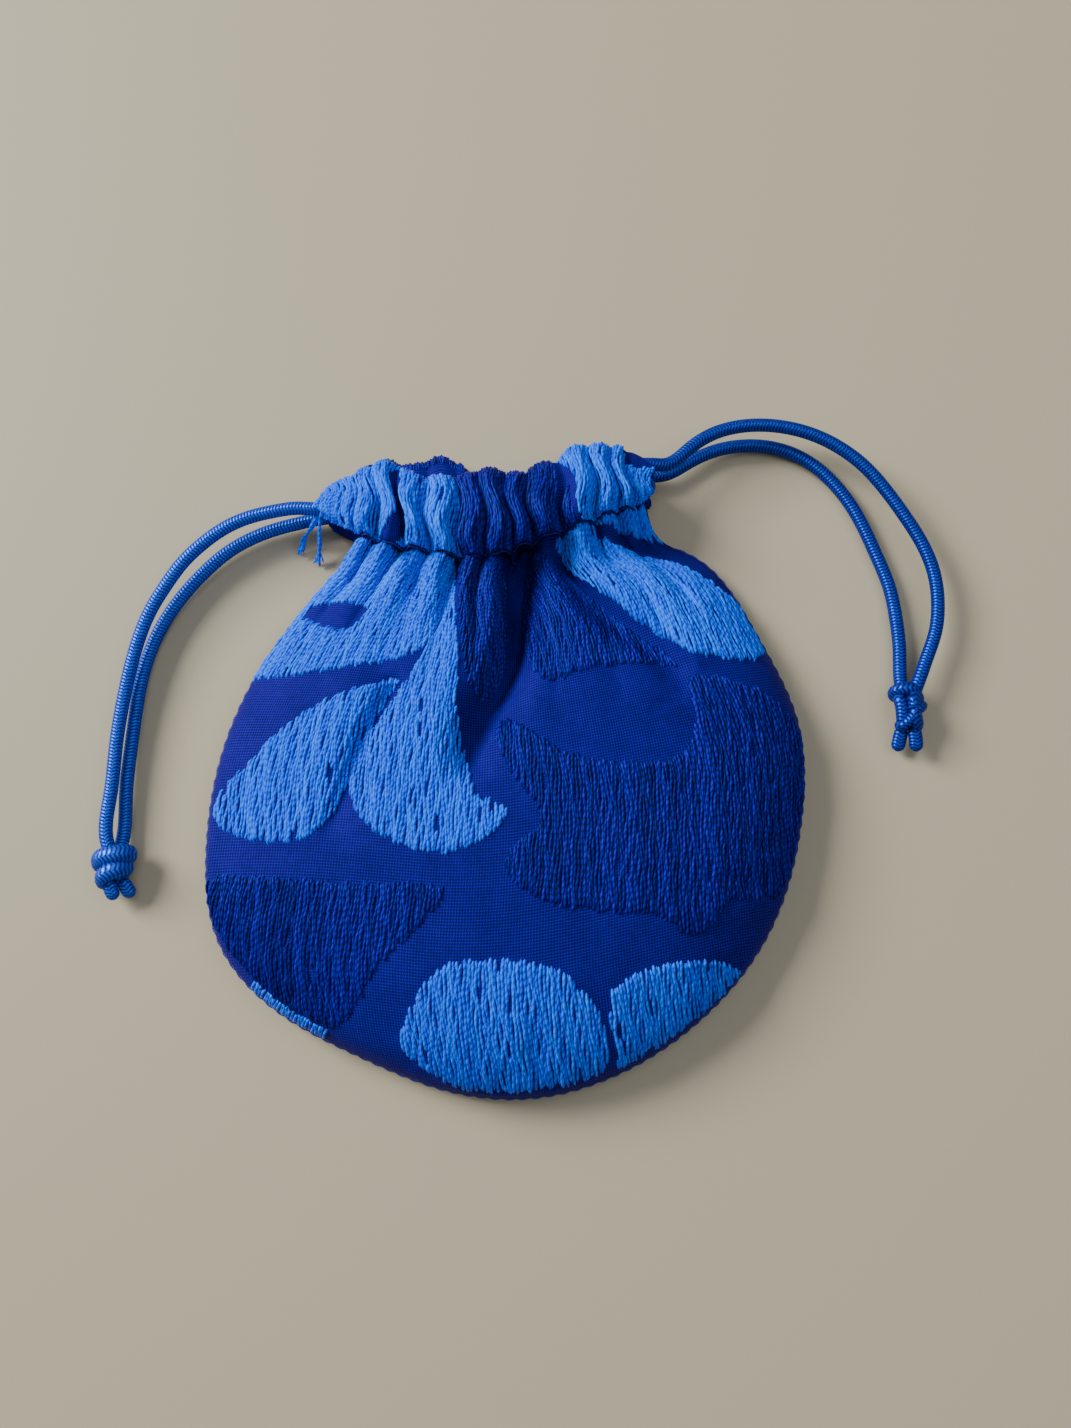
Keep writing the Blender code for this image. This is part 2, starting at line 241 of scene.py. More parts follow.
def cut_outline():
    """The cut edge from the left of the mouth round to the right: two straight sides and a round base."""
    half, corner = CUT_WIDTH / 2, CUT_CORNER
    turn = np.linspace(0, math.pi / 2, 40)
    left = np.stack([-half + corner * (1 - np.cos(turn)), corner * (1 - np.sin(turn))], axis=-1)
    right = left[::-1] * (-1, 1)
    line = np.concatenate([[(-half, CUT_LENGTH)], left, right, [(half, CUT_LENGTH)]])
    run = length_along(line)
    steps = np.linspace(0, run[-1], 600)
    return np.stack([np.interp(steps, run, line[:, k]) for k in (0, 1)], axis=-1)


def seam_outline():
    """The seam from the left of the neck, round the bag, to the right of the neck."""
    ends = stitch_edge(np.array([-1.0, 1.0]))
    belly = [(x * BAG_HALF_WIDTH, BASE_Y + y * BAG_LENGTH) for x, y in OUTLINE]
    return smooth_line([ends[0], *belly, ends[1]], 600)


CUT, SEAM = cut_outline(), seam_outline()


def cut_point(a, b):
    """Where this point of a panel lies on the flat cloth: across it from the middle, and up from the base."""
    return patch(CUT, lambda a: np.stack([a * CUT_WIDTH / 2, np.full_like(a, CUT_LENGTH)], axis=-1), a, b)


def gather(u):
    """0 in the creases of the gathered mouth and 1 on the round folds between them, by a power of the sine
    of the way from crease to crease. Beyond the last crease it is one half."""
    marks = np.array(PLEATS) * MM
    phase = np.interp(u, marks, np.arange(len(marks)))
    inner = np.clip(np.minimum(u - marks[0], marks[-1] - u) / (2 * MM) + 0.5, 0, 1)
    return 0.5 + inner * (np.abs(np.sin(math.pi * phase)) ** 0.8 - 0.5)


def dent(points, line, width):
    """1 along a crease line seen from above. It falls away to the sides as a bell, and to 0 at its end."""
    path = smooth_line(np.array(line) * MM, 60)
    away = np.linalg.norm(points[..., None, :2] - path, axis=-1)
    nearest = away.argmin(axis=-1) / (len(path) - 1)
    return np.exp(-((away.min(axis=-1) / width) ** 2)) * (1 - ease(nearest)) ** 0.3


# Creases of the front: points in mm, depth and half width in mm, and how firmly each is held as it settles
CREASES = (
    (((2, 42), (2.5, 34), (2.5, 27), (1, 19), (-2, 11), (-5, 4), (-6, -4)), 10.5, 3.2, 0.8),
    (((8.5, 40), (11, 34), (15, 29), (21, 24), (28, 18), (33, 12)), 4.5, 2.6, 0.5),
    (((-19, 43), (-17, 36), (-15, 28)), 2.5, 1.8, 0.4),
    (((-20, 13), (-23, 7), (-26, 0), (-28, -6), (-31, -14)), 2.6, 1.8, 0.6),
    (((-8.5, 41), (-9.5, 32), (-12, 24)), 2.2, 1.6, 0),
    (((22, 43), (28, 37), (34, 29)), 2.0, 2.0, 0),
    (((-30, 37), (-38, 29), (-45, 20)), 1.2, 2.4, 0),
)


def raised(plan, z):
    """The points of a plan, each at its height z."""
    return np.concatenate([plan, np.broadcast_to(z, plan.shape[:-1])[..., None]], axis=-1)


def front_start(a, b):
    """The front before it settles: a dome over the seam's outline. It rises from its edge to the crown as
    one less a power of a, and of the way to the base. Towards the mouth it takes the arch of the casing,
    and waves by the gathers, which fade with the distance from the stitches. Each crease is a dent in it."""
    edge_z = SEAM_HEIGHT + 0.3 * MM
    to_mouth = ease((b - 0.55) / 0.45)
    plan = patch(SEAM, stitch_edge, a, b)
    crown = CROWN * MM * (1 - to_mouth) + LIP_TOP * MM * to_mouth
    edge = edge_z + (lip_height(NECK[1]) - edge_z) * np.clip((b - 0.9) / 0.1, 0, 1) ** 2
    power = 2.6 - 0.6 * to_mouth
    full = (1 - np.abs(a) ** power) * (1 - np.clip(1 - 2 * b, 0, 1) ** power)
    z = edge + (crown - edge) * full ** (0.5 + 0.5 * to_mouth)
    inner = np.clip((1 - np.abs(a)) / 0.06, 0, 1)
    reach = (1 - b) * CUT_LENGTH
    points = raised(plan, z + inner * (gather(neck_u(a)) - 0.45) * RUFFLE * np.exp(-reach / (14 * MM)))
    for line, depth, width, _ in CREASES:
        points[..., 2] -= depth * MM * dent(points, line, width * MM) * ease(full / 0.3)
    return points


def back_start(a, b):
    """The back, which lies on the table: within half its fullness it drops from the seam by a square to the
    floor, and near the mouth it rises to its casing and waves a little by the gathers."""
    plan = patch(SEAM, stitch_edge, a, b)
    rise = ease((b - 0.86) / 0.14)
    floor = 0.8 * MM + 2.0 * MM * rise
    edge = (SEAM_HEIGHT - 0.3 * MM) * (1 - rise) + 2.6 * MM * rise
    full = (1 - np.abs(a) ** 3) * (1 - np.clip(1 - 2 * b, 0, 1) ** 3)
    z = floor + (edge - floor) * (1 - np.clip(full / 0.5, 0, 1)) ** 2
    reach = (1 - b) * CUT_LENGTH
    inner = np.clip((1 - np.abs(a)) / 0.06, 0, 1)
    return raised(plan, z + inner * (0.5 - gather(neck_u(a))) * 2.4 * MM * np.exp(-reach / (10 * MM)))


def grid_quads(rows, columns, wrap=False):
    """The four-sided faces of a grid of points, as an array, closed along its columns if wrap."""
    index = np.arange(rows * columns).reshape(rows, columns)
    if wrap:
        index = np.concatenate([index, index[:, :1]], axis=1)
    corners = index[:-1, :-1], index[1:, :-1], index[1:, 1:], index[:-1, 1:]
    return np.stack(corners, axis=-1).reshape(-1, 4)


def make_piece(name, points, quads, uv=None, tone=None, finish=None):
    """An object from points and quads, with uv and a tone for each point, or uv for each quad's corners."""
    mesh = bpy.data.meshes.new(name)
    mesh.from_pydata(points.reshape(-1, 3), [], quads)
    if uv is not None:
        corners = uv if uv.ndim == 3 else uv[quads]
        mesh.uv_layers.new(name="cloth").data.foreach_set("uv", corners.astype(np.float32).ravel())
    if tone is not None:
        tones = mesh.attributes.new("tone", "FLOAT", "POINT")
        tones.data.foreach_set("value", tone.astype(np.float32).ravel())
    mesh.shade_smooth()
    if finish is not None:
        mesh.materials.append(finish)
    piece = bpy.data.objects.new(name, mesh)
    bpy.context.scene.collection.objects.link(piece)
    return piece


SIM_SCALE = 10  # the cloth settles at ten times its size, which gives the solver coarser cells


def settle(start, cut, held, push, frames):
    """The grid start, sewn from cloth cut as the grid cut, after it settles under a light inner pressure.
    held is how firmly each point keeps its place, from 0 to 1."""
    quads = grid_quads(*start.shape[:2])
    cloth = make_piece("settling", start * SIM_SCALE, quads)
    cloth.shape_key_add(name="drawn up")
    flat = cloth.shape_key_add(name="cut flat")
    flat.data.foreach_set("co", (cut * SIM_SCALE).astype(np.float32).ravel())
    flat.value = 0
    group = cloth.vertex_groups.new(name="held")
    for index, weight in enumerate(held.ravel()):
        if weight > 0:
            group.add([index], float(weight), "REPLACE")
    modifier = cloth.modifiers.new("cloth", "CLOTH")
    set_to = modifier.settings
    set_to.quality = 5
    set_to.mass = 0.15
    set_to.tension_stiffness = 12
    set_to.compression_stiffness = 12
    set_to.shear_stiffness = 3
    set_to.bending_stiffness = 0.15
    set_to.air_damping = 2
    set_to.use_pressure = True
    set_to.uniform_pressure_force = push
    set_to.effector_weights.gravity = 0
    set_to.vertex_group_mass = "held"
    set_to.pin_stiffness = 1
    set_to.rest_shape_key = flat
    modifier.collision_settings.use_collision = False
    modifier.collision_settings.use_self_collision = False
    modifier.point_cache.frame_end = frames
    for frame_number in range(1, frames + 1):
        bpy.context.scene.frame_set(frame_number)
    settled = cloth.evaluated_get(bpy.context.evaluated_depsgraph_get()).data
    points = np.zeros(start.size, np.float32)
    settled.vertices.foreach_get("co", points)
    bpy.data.objects.remove(cloth, do_unlink=True)
    bpy.context.scene.frame_set(1)
    return points.reshape(start.shape).astype(float) / SIM_SCALE


# Dull royal blue warp and weft in plain weave make the ground. Over it lie the figures: soft, slightly
# glossy yarns in azure or in deeper royal blue, which float from one edge of a figure to the other.


class Socket:
    """A value in a material. Each operator on it adds one Math node."""

    def __init__(self, finish, link):
        self.finish, self.link = finish, link

    def math(self, operation, *values):
        numbered = {index: value for index, value in enumerate(values)}
        return self.finish.node("ShaderNodeMath", {"operation": operation}, numbered)

    def __add__(self, other):
        return self.math("ADD", self, other)

    def __sub__(self, other):
        return self.math("SUBTRACT", self, other)

    def __rsub__(self, other):
        return self.math("SUBTRACT", other, self)

    def __mul__(self, other):
        return self.math("MULTIPLY", self, other)

    def __abs__(self):
        return self.math("ABSOLUTE", self)

    __radd__, __rmul__ = __add__, __mul__

    def sine(self):
        return self.math("SINE", self)

    def or_more(self, other):
        return self.math("MAXIMUM", self, other)

    def out(self, name):
        """Another output of the node that this one comes from."""
        return Socket(self.finish, self.link.node.outputs[name])


class Finish:
    """A material, with its shader's constants set by name."""

    def __init__(self, name, **constants):
        self.material = bpy.data.materials.new(name)
        self.material.use_nodes = True
        self.tree = self.material.node_tree
        self.shader = self.tree.nodes["Principled BSDF"]
        for key, value in constants.items():
            self.feed(self.shader.inputs[key.replace("_", " ")], value)

    def feed(self, slot, value):
        if isinstance(value, Socket):
            self.tree.links.new(value.link, slot)
        elif isinstance(value, tuple) and slot.type == "RGBA":
            slot.default_value = (*value, 1)
        else:
            slot.default_value = value

    def node(self, kind, settings, values):
        """A node of this kind: its settings go in first, then its sockets' values or links."""
        made = self.tree.nodes.new(kind)
        for key, value in settings.items():
            if key == "stops":
                made.color_ramp.elements.remove(made.color_ramp.elements[1])
                for index, (place, colour) in enumerate(value):
                    stop = made.color_ramp.elements[0] if index == 0 else made.color_ramp.elements.new(place)
                    stop.position, stop.color = place, (*colour, 1)
            else:
                setattr(made, key, value)
        for key, value in values.items():
            self.feed(made.inputs[key], value)
        return Socket(self, next(out for out in made.outputs if out.enabled))

    def uv(self):
        """The two coordinates of the piece's own map."""
        where = self.node("ShaderNodeUVMap", {"uv_map": "cloth"}, {})
        apart = self.node("ShaderNodeSeparateXYZ", {}, {"Vector": where})
        return apart.out("X"), apart.out("Y")

    def noise(self, scale, detail=2.0, stretch=(1, 1, 1)):
        """Soft noise from 0 to 1 in the object's metres, stretched along its axes."""
        place = self.node("ShaderNodeTexCoord", {}, {}).out("Object")
        place = self.node("ShaderNodeMapping", {}, {"Vector": place, "Scale": stretch})
        return self.node("ShaderNodeTexNoise", {}, {"Vector": place, "Scale": scale, "Detail": detail})

    def paint(self, stops, value):
        """Colours the surface by a ramp through these stops, read at value."""
        ramp = self.node("ShaderNodeValToRGB", {"stops": stops}, {"Fac": value})
        self.feed(self.shader.inputs["Base Color"], ramp)

    def bump(self, height, distance, strength=1.0):
        values = {"Height": height, "Distance": distance, "Strength": strength}
        self.feed(self.shader.inputs["Normal"], self.node("ShaderNodeBump", {}, values))

    def tone(self):
        """The piece's own tone, which differs from yarn to yarn."""
        return self.node("ShaderNodeAttribute", {"attribute_name": "tone"}, {}).out("Fac")


WEAVE_PITCH = 0.5  # mm of flat cloth for each ground thread


def ground_finish(name, low, high):
    """Plain weave on a map in mm: each thread is the arch of a sine, and the one that passes over stands
    higher where the product of the two sines is positive, and lower where it is negative."""
    finish = Finish(name, Roughness=0.8, Specular_IOR_Level=0.25, Specular_Tint=(0.3, 0.2, 1.0))
    s, t = finish.uv()
    warp, weft = (s * (math.pi / WEAVE_PITCH)).sine(), (t * (math.pi / WEAVE_PITCH)).sine()
    over = warp * weft
    height = (abs(warp) * (0.7 + 0.3 * over)).or_more(abs(weft) * (0.7 - 0.3 * over))
    worn = finish.noise(900, 3) * 0.5 + finish.noise(160, 2) * 0.5
    # The weave's height also sets its colour: thread crests are painted lighter and the gaps between threads
    # darker, as painted highlight and painted shade. The two noises add tone that differs at random.
    tone_and_painted_light = height * 0.8 + worn * 0.4
    finish.paint(((0.45, low), (1.0, high)), tone_and_painted_light)
    finish.bump(height, 0.09 * MM, 0.8)
    return finish.material


def yarn_finish(name, low, middle, high):
    """A soft two-ply yarn on a map of mm along it and turns around it: the plies spiral by a sine of both."""
    finish = Finish(name, Roughness=0.5, Specular_IOR_Level=0.4, Specular_Tint=(0.02, 0.28, 1.0))
    along, around = finish.uv()
    plies = abs((along * (math.pi / 1.1) + around * math.pi).sine())
    streaks = finish.noise(1500, 3, (1, 0.35, 1))
    # The plies' crests are painted lighter and the grooves between them darker, as painted highlight and
    # painted shade. The yarn's tone and the streaks are its own colour, which differs at random.
    tone_and_painted_light = finish.tone() * 0.3 + streaks * 0.6 + plies * 0.35 - 0.15
    finish.paint(((0.15, low), (0.5, middle), (0.9, high)), tone_and_painted_light)
    finish.bump(plies + streaks, 0.06 * MM, 0.7)
    return finish.material


# Between these stops lie the cloth's own blues. The darkest ends serve as painted shade in the grooves, and
# the lightest as painted highlight on the crests.
ground = ground_finish("ground weave", (0.001, 0.001, 0.035), (0.014, 0.006, 0.30))
azure = yarn_finish("azure yarn", (0.001, 0.030, 0.36), (0.001, 0.10, 0.90), (0.003, 0.26, 1.0))
royal = yarn_finish("royal yarn", (0.001, 0.001, 0.04), (0.006, 0.001, 0.15), (0.014, 0.004, 0.44))

CLOTH = 0.5 * MM
YARN_PITCH = 0.54  # mm of flat cloth from one float to the next
YARN_RADIUS = 0.31 * MM
YARN_STEP = 0.85  # mm between the points of a float
SINK = 0.35 * MM  # how deep the ends of a float dive
BREAKS = 0.006  # the chance that a float breaks at a point

# The figures' outlines on the front, in mm from the origin, and the bare leaves inside them
AZURE_FIGURES = (
    ((-9, 36), (-9, 27), (-8, 19), (-9, 10), (-6, -2), (-5, -6), (-2, -6), (2, -8), (-1, -13), (-8, -17),
     (-15, -17), (-23, -13), (-27, -8), (-27, -2), (-24, 5), (-20, 11), (-17, 15), (-16, 17), (-11, 25)),
    ((-24, 47), (-33, 38), (-42, 32), (-49, 26), (-51, 17), (-46, 15), (-38, 15), (-29, 16), (-22, 17),
     (-17, 18), (-11, 22), (-9, 27), (-9, 41), (-16, 46)),
    ((-17, 16), (-22, 15), (-31, 12), (-36, 9), (-40, 6), (-46, 0), (-50, -3), (-53, -9), (-50, -13),
     (-42, -15), (-35, -15), (-30, -11), (-27, -4), (-25, 2), (-22, 9)),
    ((-19, -49), (-16, -41), (-12, -35), (-8, -33), (3, -33), (11, -35), (15, -40), (17.5, -46), (18, -54),
     (12, -58), (3, -59), (-8, -57)),
    ((17, -39), (19, -37), (25, -34), (33, -33), (39, -34), (45, -36), (37, -43), (30, -50), (24, -54),
     (19.5, -55), (18.7, -47)),
    ((9, 47), (8, 40), (12, 35), (17, 31), (23, 25), (29, 21), (35, 18), (48, 18), (47, 26), (39, 34),
     (33, 37.5), (21, 40), (13, 44)),
    ((12, 43.5), (20, 42.6), (33, 41), (36, 46), (30, 52), (12, 50)),
)
AZURE_LEAVES = (((-38, 29), (-32, 29.5), (-27, 28.5), (-24, 27.5), (-29, 24.5), (-34, 26.5)),)
ROYAL_FIGURES = (
    ((-54, -18), (-42, -19), (-28, -20), (-17, -20), (-8, -21), (-14, -29), (-21, -35), (-25, -42),
     (-28, -47), (-38, -43), (-46, -36), (-53, -27)),
    ((-1, 9), (6, 5), (9, 2), (19, 0), (31, 1), (33, 9), (31, 17), (38, 16), (49, 13), (55, 2), (54, -9),
     (52, -22), (45, -25), (39, -24), (35, -30), (31, -31), (26, -27), (17, -27), (7, -26), (-1, -20),
     (1, -14), (7, -10), (4, -7), (-1, 0), (-2, 5)),
    ((-9, 42), (-1, 42), (0, 27), (0, 16), (-4, 9), (-7, 13), (-8, 21)),
    ((3, 42), (10, 36), (17, 29), (23, 24), (29, 20), (32, 16), (23, 17), (13, 15), (7, 12), (3, 19)),
)
ROYAL_LEAVES = (
    ((3, 8), (9, 12), (15, 15), (22, 16), (29, 14), (33, 10), (32, 3), (28, 1), (19, 0), (10, 2)),
)


def inside(points, outline):
    """Where points lie inside a closed outline whose corners have been cut round three times: a ray along
    x crosses such an outline an odd number of times."""
    ring = np.array(outline, float)
    for _ in range(3):
        after = np.roll(ring, -1, axis=0)
        ring = np.stack([0.75 * ring + 0.25 * after, 0.25 * ring + 0.75 * after], axis=1).reshape(-1, 2)
    after = np.roll(ring, -1, axis=0)
    x, y = points[..., 0:1], points[..., 1:2]
    straddles = (ring[:, 1] > y) != (after[:, 1] > y)
    slope = (after[:, 0] - ring[:, 0]) / np.where(after[:, 1] == ring[:, 1], 1, after[:, 1] - ring[:, 1])
    return ((straddles & (x < ring[:, 0] + (y - ring[:, 1]) * slope)).sum(axis=-1) % 2).astype(bool)


def figured(points, figures, leaves):
    """Where these points, in metres, lie on a figure and not on a bare leaf inside it."""
    spots = points[..., :2] / MM
    on = np.any([inside(spots, outline) for outline in figures], axis=0)
    return on & ~np.any([inside(spots, outline) for outline in leaves], axis=0)


def on_grid(grid, a, b):
    """The grid's value at a and b, from its four nearest points."""
    rows, columns = grid.shape[:2]
    x, y = np.clip((a + 1) / 2, 0, 1) * (rows - 1), np.clip(b, 0, 1) * (columns - 1)
    i, j = np.minimum(x.astype(int), rows - 2), np.minimum(y.astype(int), columns - 2)
    x, y = (x - i)[..., None], (y - j)[..., None]
    low = (1 - x) * grid[i, j] + x * grid[i + 1, j]
    return (1 - y) * low + y * ((1 - x) * grid[i, j + 1] + x * grid[i + 1, j + 1])


def unit(vectors):
    """Each vector at a length of one."""
    return vectors / np.linalg.norm(vectors, axis=-1, keepdims=True).clip(1e-12)


def grid_normals(grid):
    """The cross product of a grid's two directions, at each point."""
    return unit(np.cross(np.gradient(grid, axis=0), np.gradient(grid, axis=1)))


def shell(outer, inward):
    """A closed sheet of cloth: the outer grid, the same grid moved inward, and a rim that joins them.
    Its points, and its quads facing out where the grid's two directions turn anticlockwise."""
    index = np.arange(outer[..., 0].size).reshape(outer.shape[:2])
    ring = np.concatenate([index[:-1, 0], index[-1, :-1], index[:0:-1, -1], index[0, :0:-1]])
    after, size = np.roll(ring, -1), outer[..., 0].size
    face = grid_quads(*outer.shape[:2])
    rim = np.stack([after, ring, ring + size, after + size], axis=-1)
    points = np.concatenate([outer.reshape(-1, 3), (outer + inward).reshape(-1, 3)])
    return points, np.concatenate([face, face[:, ::-1] + size, rim])


def lay_floats(place, facing, s, t, chosen, dice):
    """Closed yarns, four-sided, along the rows of a grid of points: one wherever a row stays chosen. A
    float's sway, height and thickness change as sines of the way along it. It breaks now and then, and
    dives into the cloth at its ends. s and t are mm across and along the flat cloth. Gives points, quads,
    the map (mm along, turns around) and each point's tone."""
    rows, steps = chosen.shape
    chosen = chosen & (dice.random((rows, steps)) > BREAKS)
    starts, ends = chosen.copy(), chosen.copy()
    starts[:, 1:] &= ~chosen[:, :-1]
    ends[:, :-1] &= ~chosen[:, 1:]
    lone = starts & ends
    chosen, starts, ends = chosen & ~lone, starts & ~lone, ends & ~lone
    sway = 0.12 * MM * np.sin(t * 0.95 + dice.random((rows, 1)) * 2 * math.pi)
    sway = sway + 0.15 * MM * np.sin(t * 0.42 + s * 1.9)
    along = unit(np.gradient(place, axis=1))
    aside = unit(np.cross(along, facing))
    thick = YARN_RADIUS * (0.86 + 0.2 * dice.random((rows, 1)) + 0.12 * np.sin(t * 1.7 + s * 5))
    down = np.where(starts | ends, -SINK, 0.45 * thick + 0.10 * MM * np.sin(t * 1.3 + s * 7))
    thick = np.where(starts | ends, 0.25 * thick, thick)
    centre = place + aside * sway[..., None] + facing * down[..., None]
    turn = np.arange(4) * math.pi / 2
    out = np.cos(turn)[:, None] * aside[..., None, :] + np.sin(turn)[:, None] * facing[..., None, :]
    rings = centre[..., None, :] + thick[..., None, None] * out
    number = np.cumsum(chosen.ravel()).reshape(rows, steps) - 1
    first = number[:, :-1][chosen[:, :-1] & chosen[:, 1:]] * 4
    k, after = np.arange(4), (np.arange(4) + 1) % 4
    f = first[:, None]
    sides = np.stack([f + k, f + 4 + k, f + 4 + after, f + after], axis=-1).reshape(-1, 4)
    caps = np.concatenate([number[starts][:, None] * 4 + k, number[ends][:, None] * 4 + k[::-1]])
    tone = np.broadcast_to(dice.random((rows, 1)), chosen.shape)[chosen]
    shift = 13 * dice.random((rows, 1, 1))
    spots = np.stack(np.broadcast_arrays(t[..., None] + shift, turn / (2 * math.pi)), axis=-1)
    quads = np.concatenate([sides, caps])
    return rings[chosen].reshape(-1, 3), quads, spots[chosen].reshape(-1, 2), np.repeat(tone, 4)


def cut_to_ab(s, t):
    """The a and b whose point of the cut lies at s and t, by Newton's method from the nearest point of a
    coarse grid, and where it found one."""
    coarse_a, coarse_b = np.meshgrid(np.linspace(-0.98, 0.98, 33), np.linspace(0.02, 0.98, 27))
    coarse = cut_point(coarse_a, coarse_b).reshape(-1, 2)
    nearest = ((np.stack([s, t], axis=-1)[..., None, :] - coarse) ** 2).sum(axis=-1).argmin(axis=-1)
    a, b = coarse_a.ravel()[nearest], coarse_b.ravel()[nearest]
    small = 1e-4
    for _ in range(12):
        miss = cut_point(a, b) - np.stack([s, t], axis=-1)
        by_a = (cut_point(a + small, b) - cut_point(a - small, b)) / (2 * small)
        by_b = (cut_point(a, b + small) - cut_point(a, b - small)) / (2 * small)
        size = by_a[..., 0] * by_b[..., 1] - by_a[..., 1] * by_b[..., 0]
        size = np.where(np.abs(size) < 1e-7, 1e-7, size)
        a = np.clip(a - (miss[..., 0] * by_b[..., 1] - miss[..., 1] * by_b[..., 0]) / size, -1.02, 1.02)
        b = np.clip(b - (by_a[..., 0] * miss[..., 1] - by_a[..., 1] * miss[..., 0]) / size, -0.02, 1.02)
    miss = np.linalg.norm(cut_point(a, b) - np.stack([s, t], axis=-1), axis=-1)
    return a, b, (miss < 0.2 * MM) & (np.abs(a) < 0.997) & (b > 0.003) & (b < 0.998)


def panel_rows(grid, outward, dice):
    """The rows that the floats of a panel follow: straight up the cloth as it was cut, and each a pitch
    from the next, with the points and outward normals that they have on the pouch."""
    half, reach = CUT_WIDTH / MM / 2, CUT_LENGTH / MM
    s = np.arange(-half + 0.4, half - 0.4, YARN_PITCH)
    s = (s + (dice.random(len(s)) - 0.5) * 0.12)[:, None]
    t = np.arange(0.3, reach - 0.2, YARN_STEP)[None, :] + (dice.random((len(s), 1)) - 0.5) * 0.8
    s, t = np.broadcast_arrays(s, t)
    a, b, found = cut_to_ab(s * MM, t * MM)
    facing = unit(on_grid(grid_normals(grid), a, b)) * outward
    return on_grid(grid, a, b), facing, s, t, found


def add_floats(name, place, facing, s, t, chosen, dice, finish):
    """The floats as a piece of their own, none of which sinks into the table."""
    points, quads, spots, tone = lay_floats(place, facing, s, t, chosen, dice)
    points[:, 2] = np.maximum(points[:, 2], 0.05 * MM)
    return make_piece(name, points, quads, uv=spots, tone=tone, finish=finish)


def add_figured(name, stands_for, mesh, flat, rows, azure_spots, royal_spots, dice):
    """Three pieces: the ground from its mesh and its map of flat cloth, and the floats of each colour on
    rows, which are their places, their normals and how far across and along the flat cloth they lie."""
    points, quads = mesh
    flat = np.tile(flat.reshape(-1, 2), (2, 1))
    cloth = make_piece(f"{name}_ground", points, quads, uv=flat, finish=ground)
    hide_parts(stands_for)
    azure_piece = add_floats(f"{name}_azure_floats", *rows, azure_spots, dice, azure)
    royal_piece = add_floats(f"{name}_royal_floats", *rows, royal_spots & ~azure_spots, dice, royal)
    pieces = cloth, azure_piece, royal_piece
    return pieces


def add_panel(name, grid, outward, dice, figure_at):
    """A panel: its shell, whose grid is turned over for the back so that it faces out, and its floats."""
    order = slice(None) if outward > 0 else slice(None, None, -1)
    mesh = shell(grid[order], -outward * CLOTH * grid_normals(grid)[order])
    *rows, found = panel_rows(grid, outward, dice)
    where = figure_at(rows[0])
    azure_spots = figured(where, AZURE_FIGURES, AZURE_LEAVES) & found
    royal_spots = figured(where, ROYAL_FIGURES, ROYAL_LEAVES) & found
    flat = cut_grid[order] / MM
    return add_figured(name, f"{name}_panel", mesh, flat, rows, azure_spots, royal_spots, dice)


A, B = np.meshgrid(np.linspace(-1, 1, 129), np.linspace(0, 1, 105), indexing="ij")
cut_grid = cut_point(A, B)
front_cloth, back_cloth = front_start(A, B), back_start(A, B)
held = ((np.abs(A) > 0.999) | (B < 0.001) | (B > 0.999)).astype(float)
for line, depth, width, hold in CREASES:
    held = np.maximum(held, hold * dent(front_cloth, line, width * MM))
front_cloth = settle(front_cloth, raised(cut_grid, 0.0), held, push=0.5, frames=24)

# Between these two points the front comes to follow its lip
LIP_START = at_mouth(0.0, -42 * MM, 0.0)
LIP_END = at_mouth(0.0, -13 * MM, 0.0)
LENS_HALF = 27 * MM  # half the length of the mouth that opens


def open_with_lip(piece):
    """The mouth opens like a lens: its middle lifts with the lip, and its two ends stay where they are.
    The share of the lip's motion is scaled by the square of one less the square of the way to an end."""
    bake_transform(piece, "pouch", "front_lip", start=tuple(LIP_START), end=tuple(LIP_END))
    mesh = piece.data
    spots = np.empty(len(mesh.vertices) * 3, np.float32)
    mesh.vertices.foreach_get("co", spots)
    spots = spots.reshape(-1, 3)[:, :2] - at_mouth(0.0, 0.0, 0.0)[:2]
    along = spots @ (math.cos(MOUTH_TILT), math.sin(MOUTH_TILT))
    lens = np.clip(1 - (along / LENS_HALF) ** 2, 0, 1) ** 2
    share = np.empty(len(mesh.vertices), np.float32)
    mesh.attributes["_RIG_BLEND"].data.foreach_get("value", share)
    mesh.attributes["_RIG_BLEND"].data.foreach_set("value", (share * lens).astype(np.float32))


front_pieces = add_panel("front", front_cloth, 1, np.random.default_rng(11), lambda place: place)
for piece in front_pieces:
    open_with_lip(piece)

BAND = (0.320, 0.374)  # the ends of the azure band along the base's left corner, as shares of the seam


def add_band():
    """The narrow end of an azure figure: yarns that run in from the seam, square to it. Their height is that
    of the six nearest points of the front, each weighted by one over its distance squared."""
    share, depth = np.meshgrid(np.linspace(*BAND, 32), np.linspace(0.1, 2.5, 7) * MM, indexing="ij")
    rim = between(SEAM, share.ravel()).reshape(*share.shape, 2)
    inward = unit(np.cross(raised(np.gradient(rim, axis=0), 0.0), (0, 0, -1)))
    rim = rim + inward[..., :2] * depth[..., None]
    front = front_cloth.reshape(-1, 3)
    away = np.linalg.norm(rim[..., None, :] - front[:, :2], axis=-1)
    nearest = np.argsort(away, axis=-1)[..., :6]
    weight = 1 / (np.take_along_axis(away, nearest, -1) + 0.05 * MM) ** 2
    place = raised(rim, (front[nearest, 2] * weight).sum(axis=-1) / weight.sum(axis=-1))
    facing = unit(np.array((0, 0, 1.0)) - 0.8 * inward)
    chosen, dice = np.ones(share.shape, bool), np.random.default_rng(15)
    return add_floats("azure_band", place, facing, share * 300, depth / MM, chosen, dice, azure)


band = add_band()
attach(band, "pouch")


def turned_figures(place):
    """The back shows the cloth's figures turned left for right and a little higher."""
    return place * (-1, 1, 1) + np.array((6, -9, 0)) * MM


